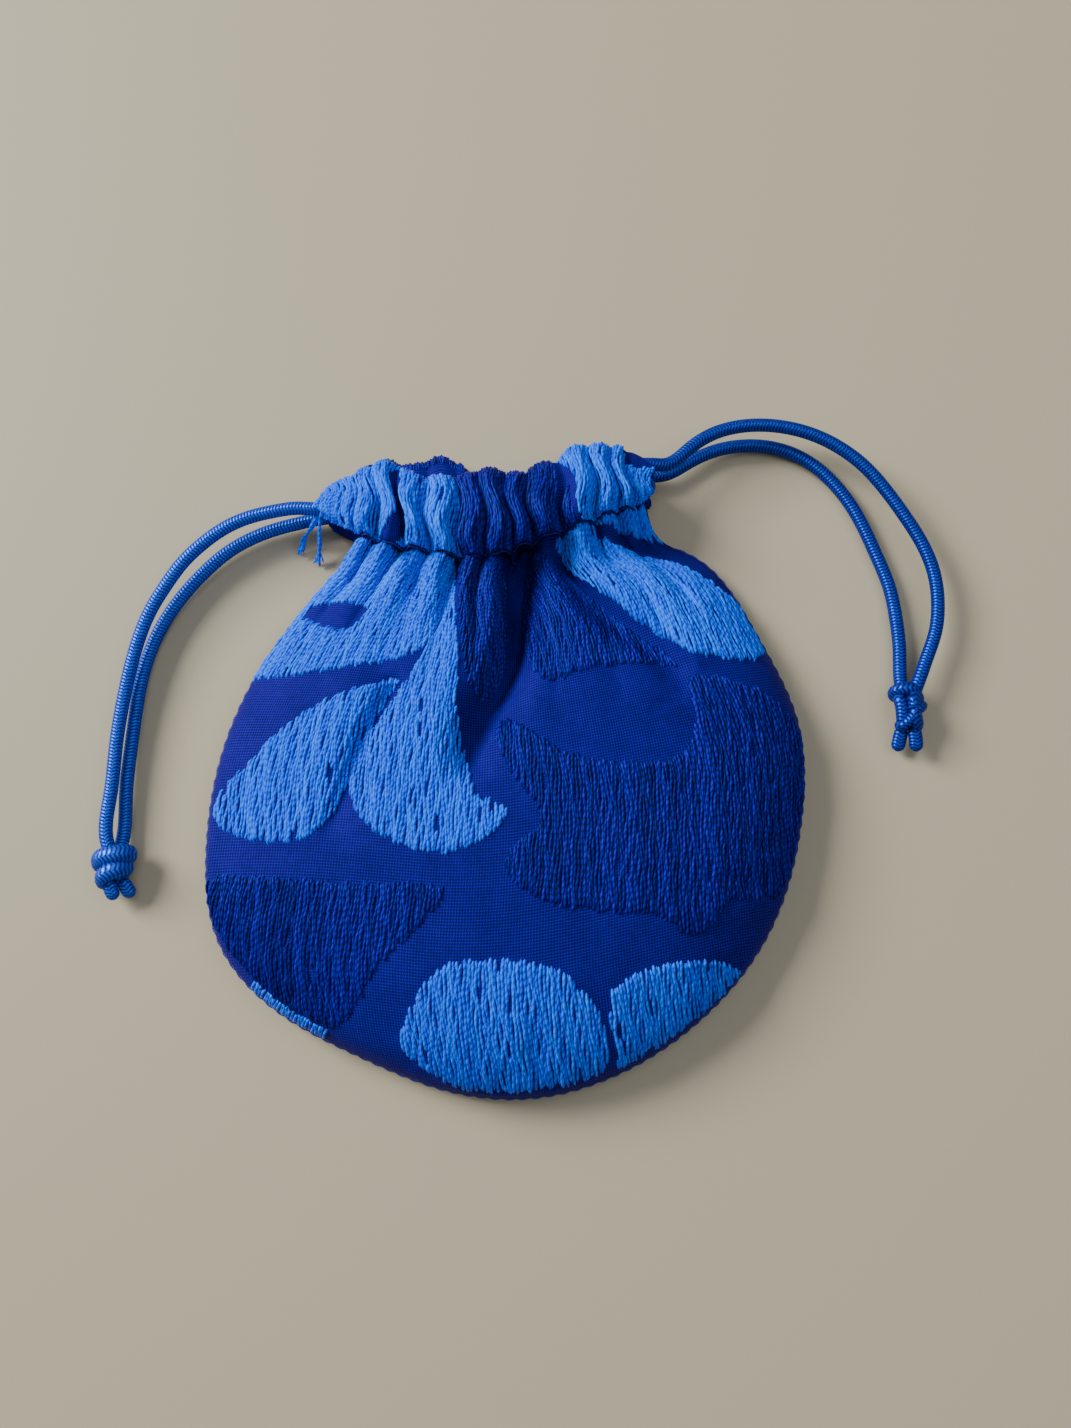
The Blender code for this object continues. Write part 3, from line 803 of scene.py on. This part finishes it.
back_pieces = add_panel("back", back_cloth, -1, np.random.default_rng(12), turned_figures)
for piece in back_pieces:
    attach(piece, "pouch")

# ---- The side seam ----
# One seam of three-ply sewing thread joins the panels along the sides and round the base, from one side of
# the neck to the other. It sways a little with each stitch.

STITCH = 2.4 * MM
SEAM_ENDS = (0.036, 0.964)  # where the thread begins and ends, as shares of the seam


def ring_quads(rows, columns):
    """The quads of a closed tube: a grid wrapped along its columns, and its two round ends. Also which
    corners of an unwrapped map they take."""
    index = np.arange(columns // 2 - 1)
    disc = np.stack([index, index + 1, columns - 2 - index, columns - 1 - index], axis=-1)
    last = (rows - 1) * columns
    quads = np.concatenate([grid_quads(rows, columns, wrap=True), disc, last + disc[:, ::-1]])
    ends = (rows - 1) * (columns + 1)
    return quads, np.concatenate([grid_quads(rows, columns + 1), disc, ends + disc[:, ::-1]])


def tube(path, radii, sides, fixed=(0, 0, 1), relief=0.0, pitch=1.0):
    """A closed tube along path. Its cross-section is an ellipse: radii are square to the fixed direction
    and along it. relief is the height of its braid: ribs that slope one way and then the other round it.
    Gives points, quads and a map of mm along and turns around for each corner."""
    along = unit(np.gradient(path, axis=0))
    aside = unit(np.cross(along, fixed))
    top = np.cross(aside, along)
    run = length_along(path)[:, None]
    angle = np.linspace(0, 2 * math.pi, sides + 1) - math.pi / 2
    phase = math.pi * run / pitch
    braid = np.abs(np.sin(phase + 1.7 * np.abs(np.sin(2 * angle))))
    rounded = np.minimum(run, run[-1] - run) / max(radii)
    size = np.sqrt(np.clip(1 - (1 - np.clip(rounded, 0.02, 1)) ** 2, 0, 1))
    wide, high = (size * (radius + relief * (braid - 0.8)) for radius in radii)
    points = path[:, None] + (wide * np.cos(angle))[..., None] * aside[:, None]
    points = points + (high * np.sin(angle))[..., None] * top[:, None]
    quads, corners = ring_quads(len(path), sides)
    spots = np.stack(np.broadcast_arrays(run / MM, angle / (2 * math.pi)), axis=-1).reshape(-1, 2)
    return points[:, :-1].reshape(-1, 3), quads[:, ::-1], spots[corners[:, ::-1]]


def thread_finish():
    """Sewing thread: three plies, whose spiral is a sine of the way along and round it."""
    finish = Finish("sewing thread", Roughness=0.55, Specular_IOR_Level=0.4)
    along, around = finish.uv()
    plies = abs((along * (math.pi / 0.5) + around * math.pi).sine())
    colours = ((0.1, (0.001, 0.002, 0.05)), (0.9, (0.010, 0.012, 0.30)))
    # The plies' crests are painted lighter and the grooves between them darker, as painted highlight and
    # painted shade. The noise adds the thread's own tone.
    finish.paint(colours, plies * 0.7 + finish.noise(700) * 0.4)
    finish.bump(plies, 0.05 * MM)
    return finish.material


thread = thread_finish()


def add_thread(name, path, radius, stands_for):
    points, quads, spots = tube(path, (radius, radius), 8)
    piece = make_piece(name, points, quads, uv=spots, finish=thread)
    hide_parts(stands_for)
    return piece


def seam_line():
    """The thread along the seam: a sine of the way along it moves it in and out and up and down, once a
    stitch."""
    line = between(SEAM, np.linspace(*SEAM_ENDS, 900))
    sway = np.sin(length_along(line) * 2 * math.pi / STITCH)[:, None] * MM
    outwards = unit(np.cross(np.gradient(raised(line, 0.0), axis=0), (0, 0, 1)))
    return raised(line, SEAM_HEIGHT) - outwards * 0.12 * sway + (0, 0, 0.1) * sway


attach(add_thread("seam_thread", seam_line(), 0.3 * MM, "side_seam_thread"), "pouch")

# ---- The casings ----
# The top edge of each panel is turned over and closed by a row of stitches. The cords draw each casing
# into round gathers, and it ends in a cone at each side, where they leave.

# The upper edges of the casings, as u and v in mm
FRONT_TOP = (
    (-31.8, -0.6), (-31.0, 0.9), (-26.8, 3.0), (-22.4, 4.3), (-18.8, 4.9), (-15, 2.5), (-12.7, 1.3),
    (-8.8, 0.9), (-5.7, 0.5), (-1.7, 1.5), (2.2, 0.8), (5.3, 0.3), (7.8, 1.4), (12.6, 2.8), (14.3, 4.2),
    (19.9, 5.0), (25, 4.2), (28.4, 2.4), (29.4, 1.4),
)
BACK_TOP = (
    (-30.5, 0.2), (-27.5, 3.6), (-23.4, 7.4), (-19.3, 8.2), (-14.6, 6.9), (-11.2, 7.9), (-6.4, 6.9),
    (-3.2, 4.2), (2, 3.4), (8, 4.0), (14, 3.6), (20, 4.4), (25, 3.6), (28.4, 1.6), (29.4, 0.6),
)
CASING_HIGH = 2.7 * MM  # from the middle of the cords to the casing's wall
GATHER = 2.6 * MM  # how far the gathers stand out
LEAST_HEIGHT = 0.6 * MM  # no part of a casing lies lower
STITCH_RADIUS = 0.16 * MM
CASING_ROUND = 36  # mm of cloth once round a casing


def casing_point(u, turn, top, height, outward):
    """The casing's surface at u along it, and turn from 0 at the stitches, over the outside, to the top at
    a half and down the inside. It is a teardrop: its wall stands off the middle by a bow of the way up."""
    angle = 2 * math.pi * turn
    way = (1 - np.cos(angle)) / 2
    low, high = edge_line(FOOT, u), edge_line(top, u)
    bow = (way + 0.02) ** 0.6 * (1.0001 - way) ** 0.5 / 0.545
    side = np.where(turn <= 0.5, 1.0, -1.0)
    uneven = 1 + 0.3 * np.sin(u / (2.7 * MM) + 1) + 0.2 * np.sin(u / (1.3 * MM) + 4 * way)
    stand = CASING_HIGH + GATHER * (gather(u) - 0.35) * uneven * np.where(side > 0, 1.0, 0.35)
    cone = np.sqrt(np.clip((np.abs(u + 1.2 * MM) - 23 * MM) / (9 * MM), 0, 1))
    stand = stand * (1 - 0.36 * cone)
    ruffle = (gather(u) - 0.45) * RUFFLE * (1 - ease(way / 0.7)) * outward
    lean = 0.9 * MM * np.sin(u / (3.1 * MM) + 5 * way) * np.clip(way * (1 - way) * 4, 0, 1)
    rise = 0.8 * MM * (gather(u) - 0.5) * way
    z = height(u) + outward * side * stand * bow + ruffle
    return at_mouth(u + lean, low + (high - low) * way + rise, np.maximum(z, LEAST_HEIGHT))


def sleeve(outer, inward):
    """A closed sleeve of cloth: an outer grid wrapped along its columns, the same moved inward, and rims."""
    rows, columns = outer.shape[:2]
    face, size = grid_quads(rows, columns, wrap=True), rows * columns
    k, after = np.arange(columns), (np.arange(columns) + 1) % columns
    last = (rows - 1) * columns
    first_rim = np.stack([k, after, after + size, k + size], axis=-1)
    last_rim = np.stack([after, k, k + size, after + size], axis=-1) + last
    points = np.concatenate([outer.reshape(-1, 3), (outer + inward).reshape(-1, 3)])
    return points, np.concatenate([face, face[:, ::-1] + size, first_rim, last_rim])


# The figures on the casings and the bare leaves inside them, as u and v in mm. The first casing leaf is
# painted shade along a crease
AZURE_CASING = (
    ((-34, -12), (-34, 7), (-20, 8), (-7.2, 8), (-6.8, -4), (-5.6, -17), (-14, -16), (-25, -13)),
    ((12.4, 8), (11.6, 3), (14.4, -3), (15.8, -14), (33, -10), (33, 8)),
)
CASING_LEAVES = (
    # A narrow strip of dark bare ground along a crease of the left cone, laid there for the crease's shade:
    # painted shade
    ((-17.8, 3.0), (-16.2, 3.0), (-15.9, -2), (-15.8, -6), (-19, -12.5), (-22, -12.5), (-18.0, -6),
     (-17.6, -2)),
    ((24.0, 8), (24.4, 2.1), (27, 0.9), (33, 0.3), (33, 8)),
    ((9.0, 6), (10.9, 6), (13.2, 0), (12.8, -6), (11.2, -6), (11.2, 0)),
)
ROYAL_CASING = (((-9.5, 9), (11.6, 9), (11.6, 3), (13.8, -3), (15.4, -16), (-8, -18)),)
BACK_ROYAL_CASING = (
    ((-24, 10), (-3, 10), (-3, -18), (-24, -18)),
    ((16, 9), (30, 9), (30, -12), (16, -14)),
)
BACK_AZURE_CASING = (((-2, 10), (12, 10), (12, -18), (-2, -18)),)


def add_casing(name, top, height, outward, azure_at, royal_at, dice):
    """A casing's ground and its azure and royal floats, which run round it from the stitches to the top."""
    ends = top[0][0] * MM, top[-1][0] * MM
    u, turn = np.meshgrid(np.linspace(*ends, 181), np.linspace(0, 1, 57)[:-1], indexing="ij")
    outer = casing_point(u, turn, top, height, outward)
    wrapped = np.concatenate([outer[:, -1:], outer, outer[:, :1]], axis=1)
    facing = grid_normals(wrapped)[:, 1:-1] * outward
    order = slice(None) if outward > 0 else slice(None, None, -1)
    mesh = sleeve(outer[order], -CLOTH * facing[order])
    flat = np.stack([2 * u[order] / MM, CASING_ROUND * turn[order]], axis=-1)
    u = np.linspace(ends[0] + 0.3 * MM, ends[1] - 0.3 * MM, 185)
    u, turn = np.meshgrid(u, np.linspace(0.01, 0.6, 30), indexing="ij")
    place = casing_point(u, turn, top, height, outward)
    facing = grid_normals(place) * outward
    way = (1 - np.cos(2 * math.pi * turn)) / 2
    spots = np.stack([u, edge_line(FOOT, u) * (1 - way) + edge_line(top, u) * way], axis=-1)
    azure_spots = figured(spots, azure_at, CASING_LEAVES)
    royal_spots = figured(spots, royal_at, CASING_LEAVES)
    rows = place, facing, u / MM * 2, turn * CASING_ROUND
    return add_figured(name, name, mesh, flat, rows, azure_spots, royal_spots, dice)


def back_height(u):
    """Height of the middle of the back casing, the same all along it."""
    return np.full_like(u, 2.9 * MM)


dice = np.random.default_rng(13)
for piece in add_casing("front_casing", FRONT_TOP, lip_height, 1, AZURE_CASING, ROYAL_CASING, dice):
    open_with_lip(piece)
dice = np.random.default_rng(14)
back_figures = (BACK_AZURE_CASING, BACK_ROYAL_CASING)
for piece in add_casing("back_casing", BACK_TOP, back_height, -1, *back_figures, dice):
    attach(piece, "pouch")


def stitch_path(height, lift):
    """The row of stitches that closes a casing: it rises over the cloth between two holes, and dives."""
    u = np.linspace(-24.2, 24.2, 700) * MM
    dip = np.sin(math.pi * u / STITCH) ** 2
    ruffle = (gather(u) - 0.45) * RUFFLE * np.sign(lift)
    return at_mouth(u, edge_line(FOOT, u) - 0.1 * MM, height(u) + ruffle + lift * (dip - 0.85))


front_row, back_row = stitch_path(lip_height, 0.75 * MM), stitch_path(back_height, -0.5 * MM)
open_with_lip(add_thread("front_stitches", front_row, STITCH_RADIUS, "front_casing_stitch"))
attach(add_thread("back_stitches", back_row, STITCH_RADIUS, "back_casing_stitch"), "pouch")

# ---- The drawcords ----
# Two satin cords of fine braid. Each runs through both casings, turns round the far side of the mouth, and
# leaves as two free strands that end in one tight knot with two short cut ends.

CORD_RADIUS = 1.25 * MM
BRAID = 0.06 * MM  # how far the braid's ribs stand up
BRAID_PITCH = 0.6 * MM
BRAID_STEP = 0.15 * MM  # from one point of a cord's path to the next
RUN_RADIUS = 0.9 * CORD_RADIUS  # a cord is pressed a little thinner in its casing
LANE = 1.6 * MM  # the left cord runs this far below the middle of the casings, and the right one above it
TURN_START = 25.3 * MM  # where a cord's turn at the far side begins, as u
RUN_START = 25 * MM
RUN_END = 31.2 * MM
STRAND_START = 32.0 * MM
BEND = (31.0, 47.0)  # mm of u over which a strand comes to follow its free end
BACK_CORD_Z = 2.6 * MM
HIDDEN = 10.5 * MM  # how far a strand reaches back into its casing, so that it can be drawn out

# Each side's cord, as it was laid out: the routes of its two free strands, the centre of its knot, and its
# two cut ends. x and y count from where the strands begin, and z from the table.
CORDS = {
    "left": {
        "side": -1,
        "front": (
            (-0.0040, 0.0002, 0.0080), (-0.0079, -0.0002, 0.0077), (-0.0129, -0.0013, 0.0073),
            (-0.0177, -0.0034, 0.0069), (-0.0216, -0.0062, 0.0065), (-0.0249, -0.0094, 0.0062),
            (-0.0280, -0.0137, 0.0058), (-0.0307, -0.0184, 0.0055), (-0.0327, -0.0237, 0.0052),
            (-0.0341, -0.0294, 0.0049), (-0.0353, -0.0364, 0.0046), (-0.0361, -0.0439, 0.0044),
            (-0.0366, -0.0519, 0.0043), (-0.0368, -0.0604, 0.0044),
        ),
        "back": (
            (-0.0035, -0.0007, 0.0026), (-0.0079, -0.0018, 0.0025), (-0.0137, -0.0040, 0.0023),
            (-0.0185, -0.0070, 0.0021), (-0.0220, -0.0102, 0.0019), (-0.0254, -0.0141, 0.0018),
            (-0.0287, -0.0190, 0.0017), (-0.0311, -0.0241, 0.0016), (-0.0326, -0.0296, 0.0017),
            (-0.0335, -0.0364, 0.0018), (-0.0341, -0.0439, 0.0019), (-0.0345, -0.0519, 0.0020),
            (-0.0347, -0.0604, 0.0022),
        ),
        "knot": (-0.0355, -0.0647, 0.0036),
        "tips": {
            "front": ((-0.0362, -0.0672, 0.0040), (-0.0358, -0.0692, 0.0036), (-0.0350, -0.0707, 0.0030)),
            "back": ((-0.0340, -0.0672, 0.0034), (-0.0331, -0.0690, 0.0028), (-0.0324, -0.0703, 0.0022)),
        },
    },
    "right": {
        "side": 1,
        "front": (
            (0.0044, 0.0031, 0.0080), (0.0099, 0.0066, 0.0077), (0.0159, 0.0080, 0.0074),
            (0.0220, 0.0079, 0.0070), (0.0281, 0.0064, 0.0066), (0.0334, 0.0037, 0.0062),
            (0.0372, 0.0007, 0.0059), (0.0409, -0.0035, 0.0055), (0.0446, -0.0088, 0.0051),
            (0.0479, -0.0146, 0.0048), (0.0496, -0.0196, 0.0046), (0.0501, -0.0253, 0.0044),
            (0.0494, -0.0306, 0.0043), (0.0477, -0.0353, 0.0042), (0.0460, -0.0396, 0.0042),
        ),
        "back": (
            (0.0048, 0.0024, 0.0025), (0.0101, 0.0050, 0.0022), (0.0154, 0.0061, 0.0019),
            (0.0206, 0.0059, 0.0017), (0.0254, 0.0044, 0.0016), (0.0299, 0.0014, 0.0015),
            (0.0337, -0.0028, 0.0015), (0.0370, -0.0083, 0.0015), (0.0399, -0.0153, 0.0015),
            (0.0421, -0.0218, 0.0016), (0.0430, -0.0278, 0.0017), (0.0433, -0.0333, 0.0019),
            (0.0432, -0.0396, 0.0021),
        ),
        "knot": (0.0438, -0.0451, 0.0032),
        "tips": {
            "front": ((0.0447, -0.0480, 0.0037), (0.0451, -0.0505, 0.0034), (0.0452, -0.0526, 0.0031)),
            "back": ((0.0430, -0.0480, 0.0028), (0.0424, -0.0505, 0.0022), (0.0420, -0.0524, 0.0019)),
        },
    },
}

# Each knot's passes, from the innermost to the outermost: the direction that a pass is flattened along, its
# radii square to that and along it, and its points from the knot's centre, all in mm
UPRIGHT, OUTWARD = (0, 0, 1), (0, 1, 0)
KNOTS = {
    "left": (
        (UPRIGHT, (1.15, 1.15),
         ((-0.7, 4.2, 0.6), (-0.8, 2.6, 0.4), (-0.2, 0.8, -0.6), (0.6, -1.0, -1.0), (0.4, -3.0, -0.8))),
        (UPRIGHT, (1.15, 1.15),
         ((0.8, 4.2, -1.0), (0.8, 2.4, -1.0), (0.3, 0.5, -1.2), (-0.2, -1.6, -1.2), (-0.4, -3.0, -0.6))),
        (OUTWARD, (1.15, 1.65),
         ((2.6, 1.4, -1.2), (2.9, 1.9, 0.4), (1.6, 1.9, 1.9), (-0.6, 1.5, 2.3), (-2.4, 1.0, 1.3),
          (-2.9, 0.4, -0.6), (-1.8, 0.2, -1.9), (0.4, 0.8, -2.2), (2.2, 1.2, -1.7))),
        (OUTWARD, (1.15, 1.6),
         ((2.4, -0.2, -1.2), (2.3, -0.5, 0.6), (1.0, -0.9, 2.0), (-0.8, -1.6, 2.1), (-1.9, -2.4, 0.9),
          (-1.6, -2.8, -0.8), (0.2, -2.2, -1.7), (1.8, -0.9, -1.6))),
    ),
    "right": (
        (UPRIGHT, (1.3, 1.5),
         ((1.4, 5.2, 0.8), (0.8, 3.8, 0.6), (0.2, 2.0, -0.2), (0, 0, -0.4), (0, -3.6, -0.4))),
        (OUTWARD, (1.1, 1.2),
         ((1.4, 3.4, -1.0), (1.7, 3.6, 0.6), (0.4, 3.8, 1.6), (-1.4, 3.7, 1.3), (-2.2, 3.4, 0.2),
          (-1.8, 3.0, -1.2), (0.0, 3.0, -1.6))),
        (UPRIGHT, (1.15, 1.15),
         ((-1.5, 2.6, -0.8), (-1.5, 1.9, 0.9), (-1.3, 0.3, 1.3), (-1.2, -1.4, 1.2), (-1.1, -2.8, 0.8),
          (-1.0, -3.8, 0.2))),
        (OUTWARD, (1.2, 1.6),
         ((1.9, 2.4, -1.2), (1.9, 2.2, 0.4), (1.1, 1.7, 1.7), (0.9, 0.2, 2.0), (1.0, -1.4, 1.8),
          (1.5, -2.4, 0.8), (1.6, -2.6, -0.8))),
        (UPRIGHT, (1.0, 1.2),
         ((2.2, 1.0, -1.0), (2.5, 0.7, 0.4), (1.6, 0.0, 1.9), (0.0, -1.9, 1.9), (-1.2, -2.9, 1.0),
          (-1.5, -2.8, -0.6))),
    ),
}
TIP_RADII = (1.3, 0.95)


def satin_finish(name, low, middle, high):
    """Satin braid: smooth dyed fibre in ribs, which slope one way and then the other round the cord."""
    tint = (0.1, 0.45, 1.0)
    finish = Finish(name, Roughness=0.33, Metallic=0.5, Specular_IOR_Level=0.7, Specular_Tint=tint)
    along, around = finish.uv()
    phase = along * (math.pi / (BRAID_PITCH / MM))
    ribs = abs((phase + abs((around * (4 * math.pi)).sine()) * 1.7).sine())
    fibre = (along * 40 + around * 60).sine() * 0.5 + 0.5
    # The ribs' crests are painted lighter and their grooves darker, as painted sheen and painted shade on the
    # braid. The noise and the fibres add tone that differs at random.
    tone_and_painted_light = ribs * 0.6 + finish.noise(1200, 2) * 0.35 + fibre * 0.1
    finish.paint(((0.2, low), (0.6, middle), (1.0, high)), tone_and_painted_light)
    finish.bump(ribs + fibre * 0.15, 0.10 * MM, 0.8)
    return finish.material


# Both cords are one satin: the left cord's colours are painted lighter, as painted light from the window, and
# the right cord's darker, as painted shade
satin = {
    "left": satin_finish("left satin cord painted lit", (0.003, 0.006, 0.11), (0.012, 0.045, 0.44), (0.04, 0.15, 0.92)),
    "right": satin_finish("right satin cord painted shaded", (0.001, 0.002, 0.06), (0.005, 0.016, 0.26), (0.02, 0.07, 0.66)),
}


def braided(path, radii, fixed=UPRIGHT):
    """A tube in the braid's relief, with a rib for every pitch along it."""
    return tube(path, radii, 16, fixed, BRAID, BRAID_PITCH)


def joined(tubes):
    """Several tubes as one mesh: their points, quads and maps one after another."""
    starts = np.cumsum([0] + [len(points) for points, quads, spots in tubes])
    shifted = [quads + start for (points, quads, spots), start in zip(tubes, starts)]
    return (
        np.concatenate([points for points, quads, spots in tubes]),
        np.concatenate(shifted),
        np.concatenate([spots for points, quads, spots in tubes]),
    )


def add_satin(name, mesh, side_name, *stands_for):
    points, quads, spots = mesh
    piece = make_piece(name, points, quads, uv=spots, finish=satin[side_name])
    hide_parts(*stands_for)
    return piece


def reach_of(path):
    """The length of a path."""
    return float(np.linalg.norm(np.diff(path, axis=0), axis=1).sum())


def even_path(points):
    """A smooth line through points, with one point for each step of the braid."""
    return smooth_line(points, math.ceil(reach_of(np.array(points)) / BRAID_STEP) + 1)


def from_exit(side, points):
    """Points of a cord's outer parts, from where its strands begin."""
    return at_mouth(side * STRAND_START, side * LANE, 0.0) + np.array(points)


def strand_path(side, route, knot, height):
    """The strand from inside its casing, out of the cone's tip, along its route and into its knot."""
    u = side * np.linspace(STRAND_START - HIDDEN, STRAND_START, 6)
    inside_part = at_mouth(u, side * LANE, height(u))
    into_knot = route[-1] + 0.6 * (np.array(knot) - route[-1])
    return even_path(np.concatenate([inside_part, from_exit(side, [*route, into_knot])]))


def run_path(side, height, sag):
    """A cord's length in a casing. It sags towards the middle of the mouth by one less a square."""
    u = side * np.linspace(-RUN_START, RUN_END, 40)
    down = sag * np.clip(1 - (u / RUN_START) ** 2, 0, 1)
    return even_path(at_mouth(u, side * LANE - down, height(u)))


def turn_path(side):
    """The half circle that takes a cord round the far side of the mouth, from one casing to the other."""
    upper = lip_height(TURN_START)
    radius = (upper - BACK_CORD_Z) / 2
    angle = np.linspace(-math.pi / 2, math.pi / 2, 48)
    middle = (upper + BACK_CORD_Z) / 2
    out = TURN_START + radius * np.cos(angle)
    return at_mouth(-side * out, side * LANE, middle + radius * np.sin(angle))


def back_cord_height(u):
    """The height at which the cords run in the back casing, the same all along it."""
    return np.full_like(u, BACK_CORD_Z)


across = at_mouth(0.0, 1.0, 0.0) - at_mouth(0.0, 0.0, 0.0)
for name, cord in CORDS.items():
    side = cord["side"]
    knot_at = from_exit(side, cord["knot"])
    wraps = []
    for fixed, radii, points in KNOTS[name]:
        path = even_path(knot_at + np.array(points) * MM)
        wraps.append(braided(path, np.array(radii) * MM, fixed))
    for tip in cord["tips"].values():
        wraps.append(braided(even_path(from_exit(side, tip)), np.array(TIP_RADII) * MM))
    nodes = f"{name}_knot", f"{name}_tip_front", f"{name}_tip_back"
    knot = add_satin(f"{name}_knot_wraps", joined(wraps), name, *nodes)
    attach(knot, f"{name}_tail")
    for casing, height in (("front", lip_height), ("back", back_cord_height)):
        path = strand_path(side, cord[casing], cord["knot"], height)
        mesh = braided(path, (CORD_RADIUS, CORD_RADIUS))
        strand = add_satin(f"{name}_{casing}_cord", mesh, name, f"{name}_strand_{casing}")
        bend = at_mouth(side * np.array(BEND) * MM, side * LANE, 6 * MM)
        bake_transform(strand, f"{name}_cord", f"{name}_tail", start=tuple(bend[0]), end=tuple(bend[1]))
        exit_point = at_mouth(side * STRAND_START, side * LANE, height(STRAND_START))
    radii = (RUN_RADIUS, RUN_RADIUS)
    mesh = braided(run_path(side, lip_height, 2.5 * MM), radii)
    open_with_lip(add_satin(f"{name}_front_run", mesh, name, f"{name}_cord_front_run"))
    mesh = braided(run_path(side, back_cord_height, 0.0), radii)
    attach(add_satin(f"{name}_back_run", mesh, name, f"{name}_cord_back_run"), f"{name}_cord")
    mesh = braided(turn_path(side), radii, across)
    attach(add_satin(f"{name}_turn", mesh, name, f"{name}_cord_turn"), "pouch")

# ---- The loose tufts ----
# Two tufts of azure yarn have come loose from the cloth at the left tip of the casings, and hang from
# there to the table beside the cord.

TUFT_ROOT = (-31.6, -1.6, 8.6)  # u, v and z in mm
TUFT_TIPS = (((-37.0, -6.8, 0.9), 1.0), ((-33.6, -9.7, 0.9), 0.7))  # and how widely each one's yarns spread


def tuft_yarns():
    """Six yarns for each tuft: smooth lines from the root to the tip by way of two points between them, with
    all four points moved at random, more and more towards the tip."""
    dice = np.random.default_rng(17)
    yarns = []
    for tip, spread in TUFT_TIPS:
        for _ in range(6):
            loose = dice.normal(0, 1, (4, 3)) * np.array([[0.15], [0.25], [0.45], [1.0]]) * spread * 0.55
            start, end = np.array(TUFT_ROOT), np.array(tip)
            middle = start * 0.6 + end * 0.4 + (0, -0.4, 1.0)
            line = smooth_line(np.array([start, middle, start * 0.25 + end * 0.75, end]) + loose, 26)
            line[:, 2] = np.maximum(line[:, 2], 0.35)
            yarns.append(tube(at_mouth(*(line.T * MM)), (0.2 * MM, 0.2 * MM), 6))
    return yarns


points, quads, spots = joined(tuft_yarns())
tone = np.full(len(points), 0.6)
tufts = make_piece("azure_tufts", points, quads, uv=spots, tone=tone, finish=azure)
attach(tufts, "pouch")
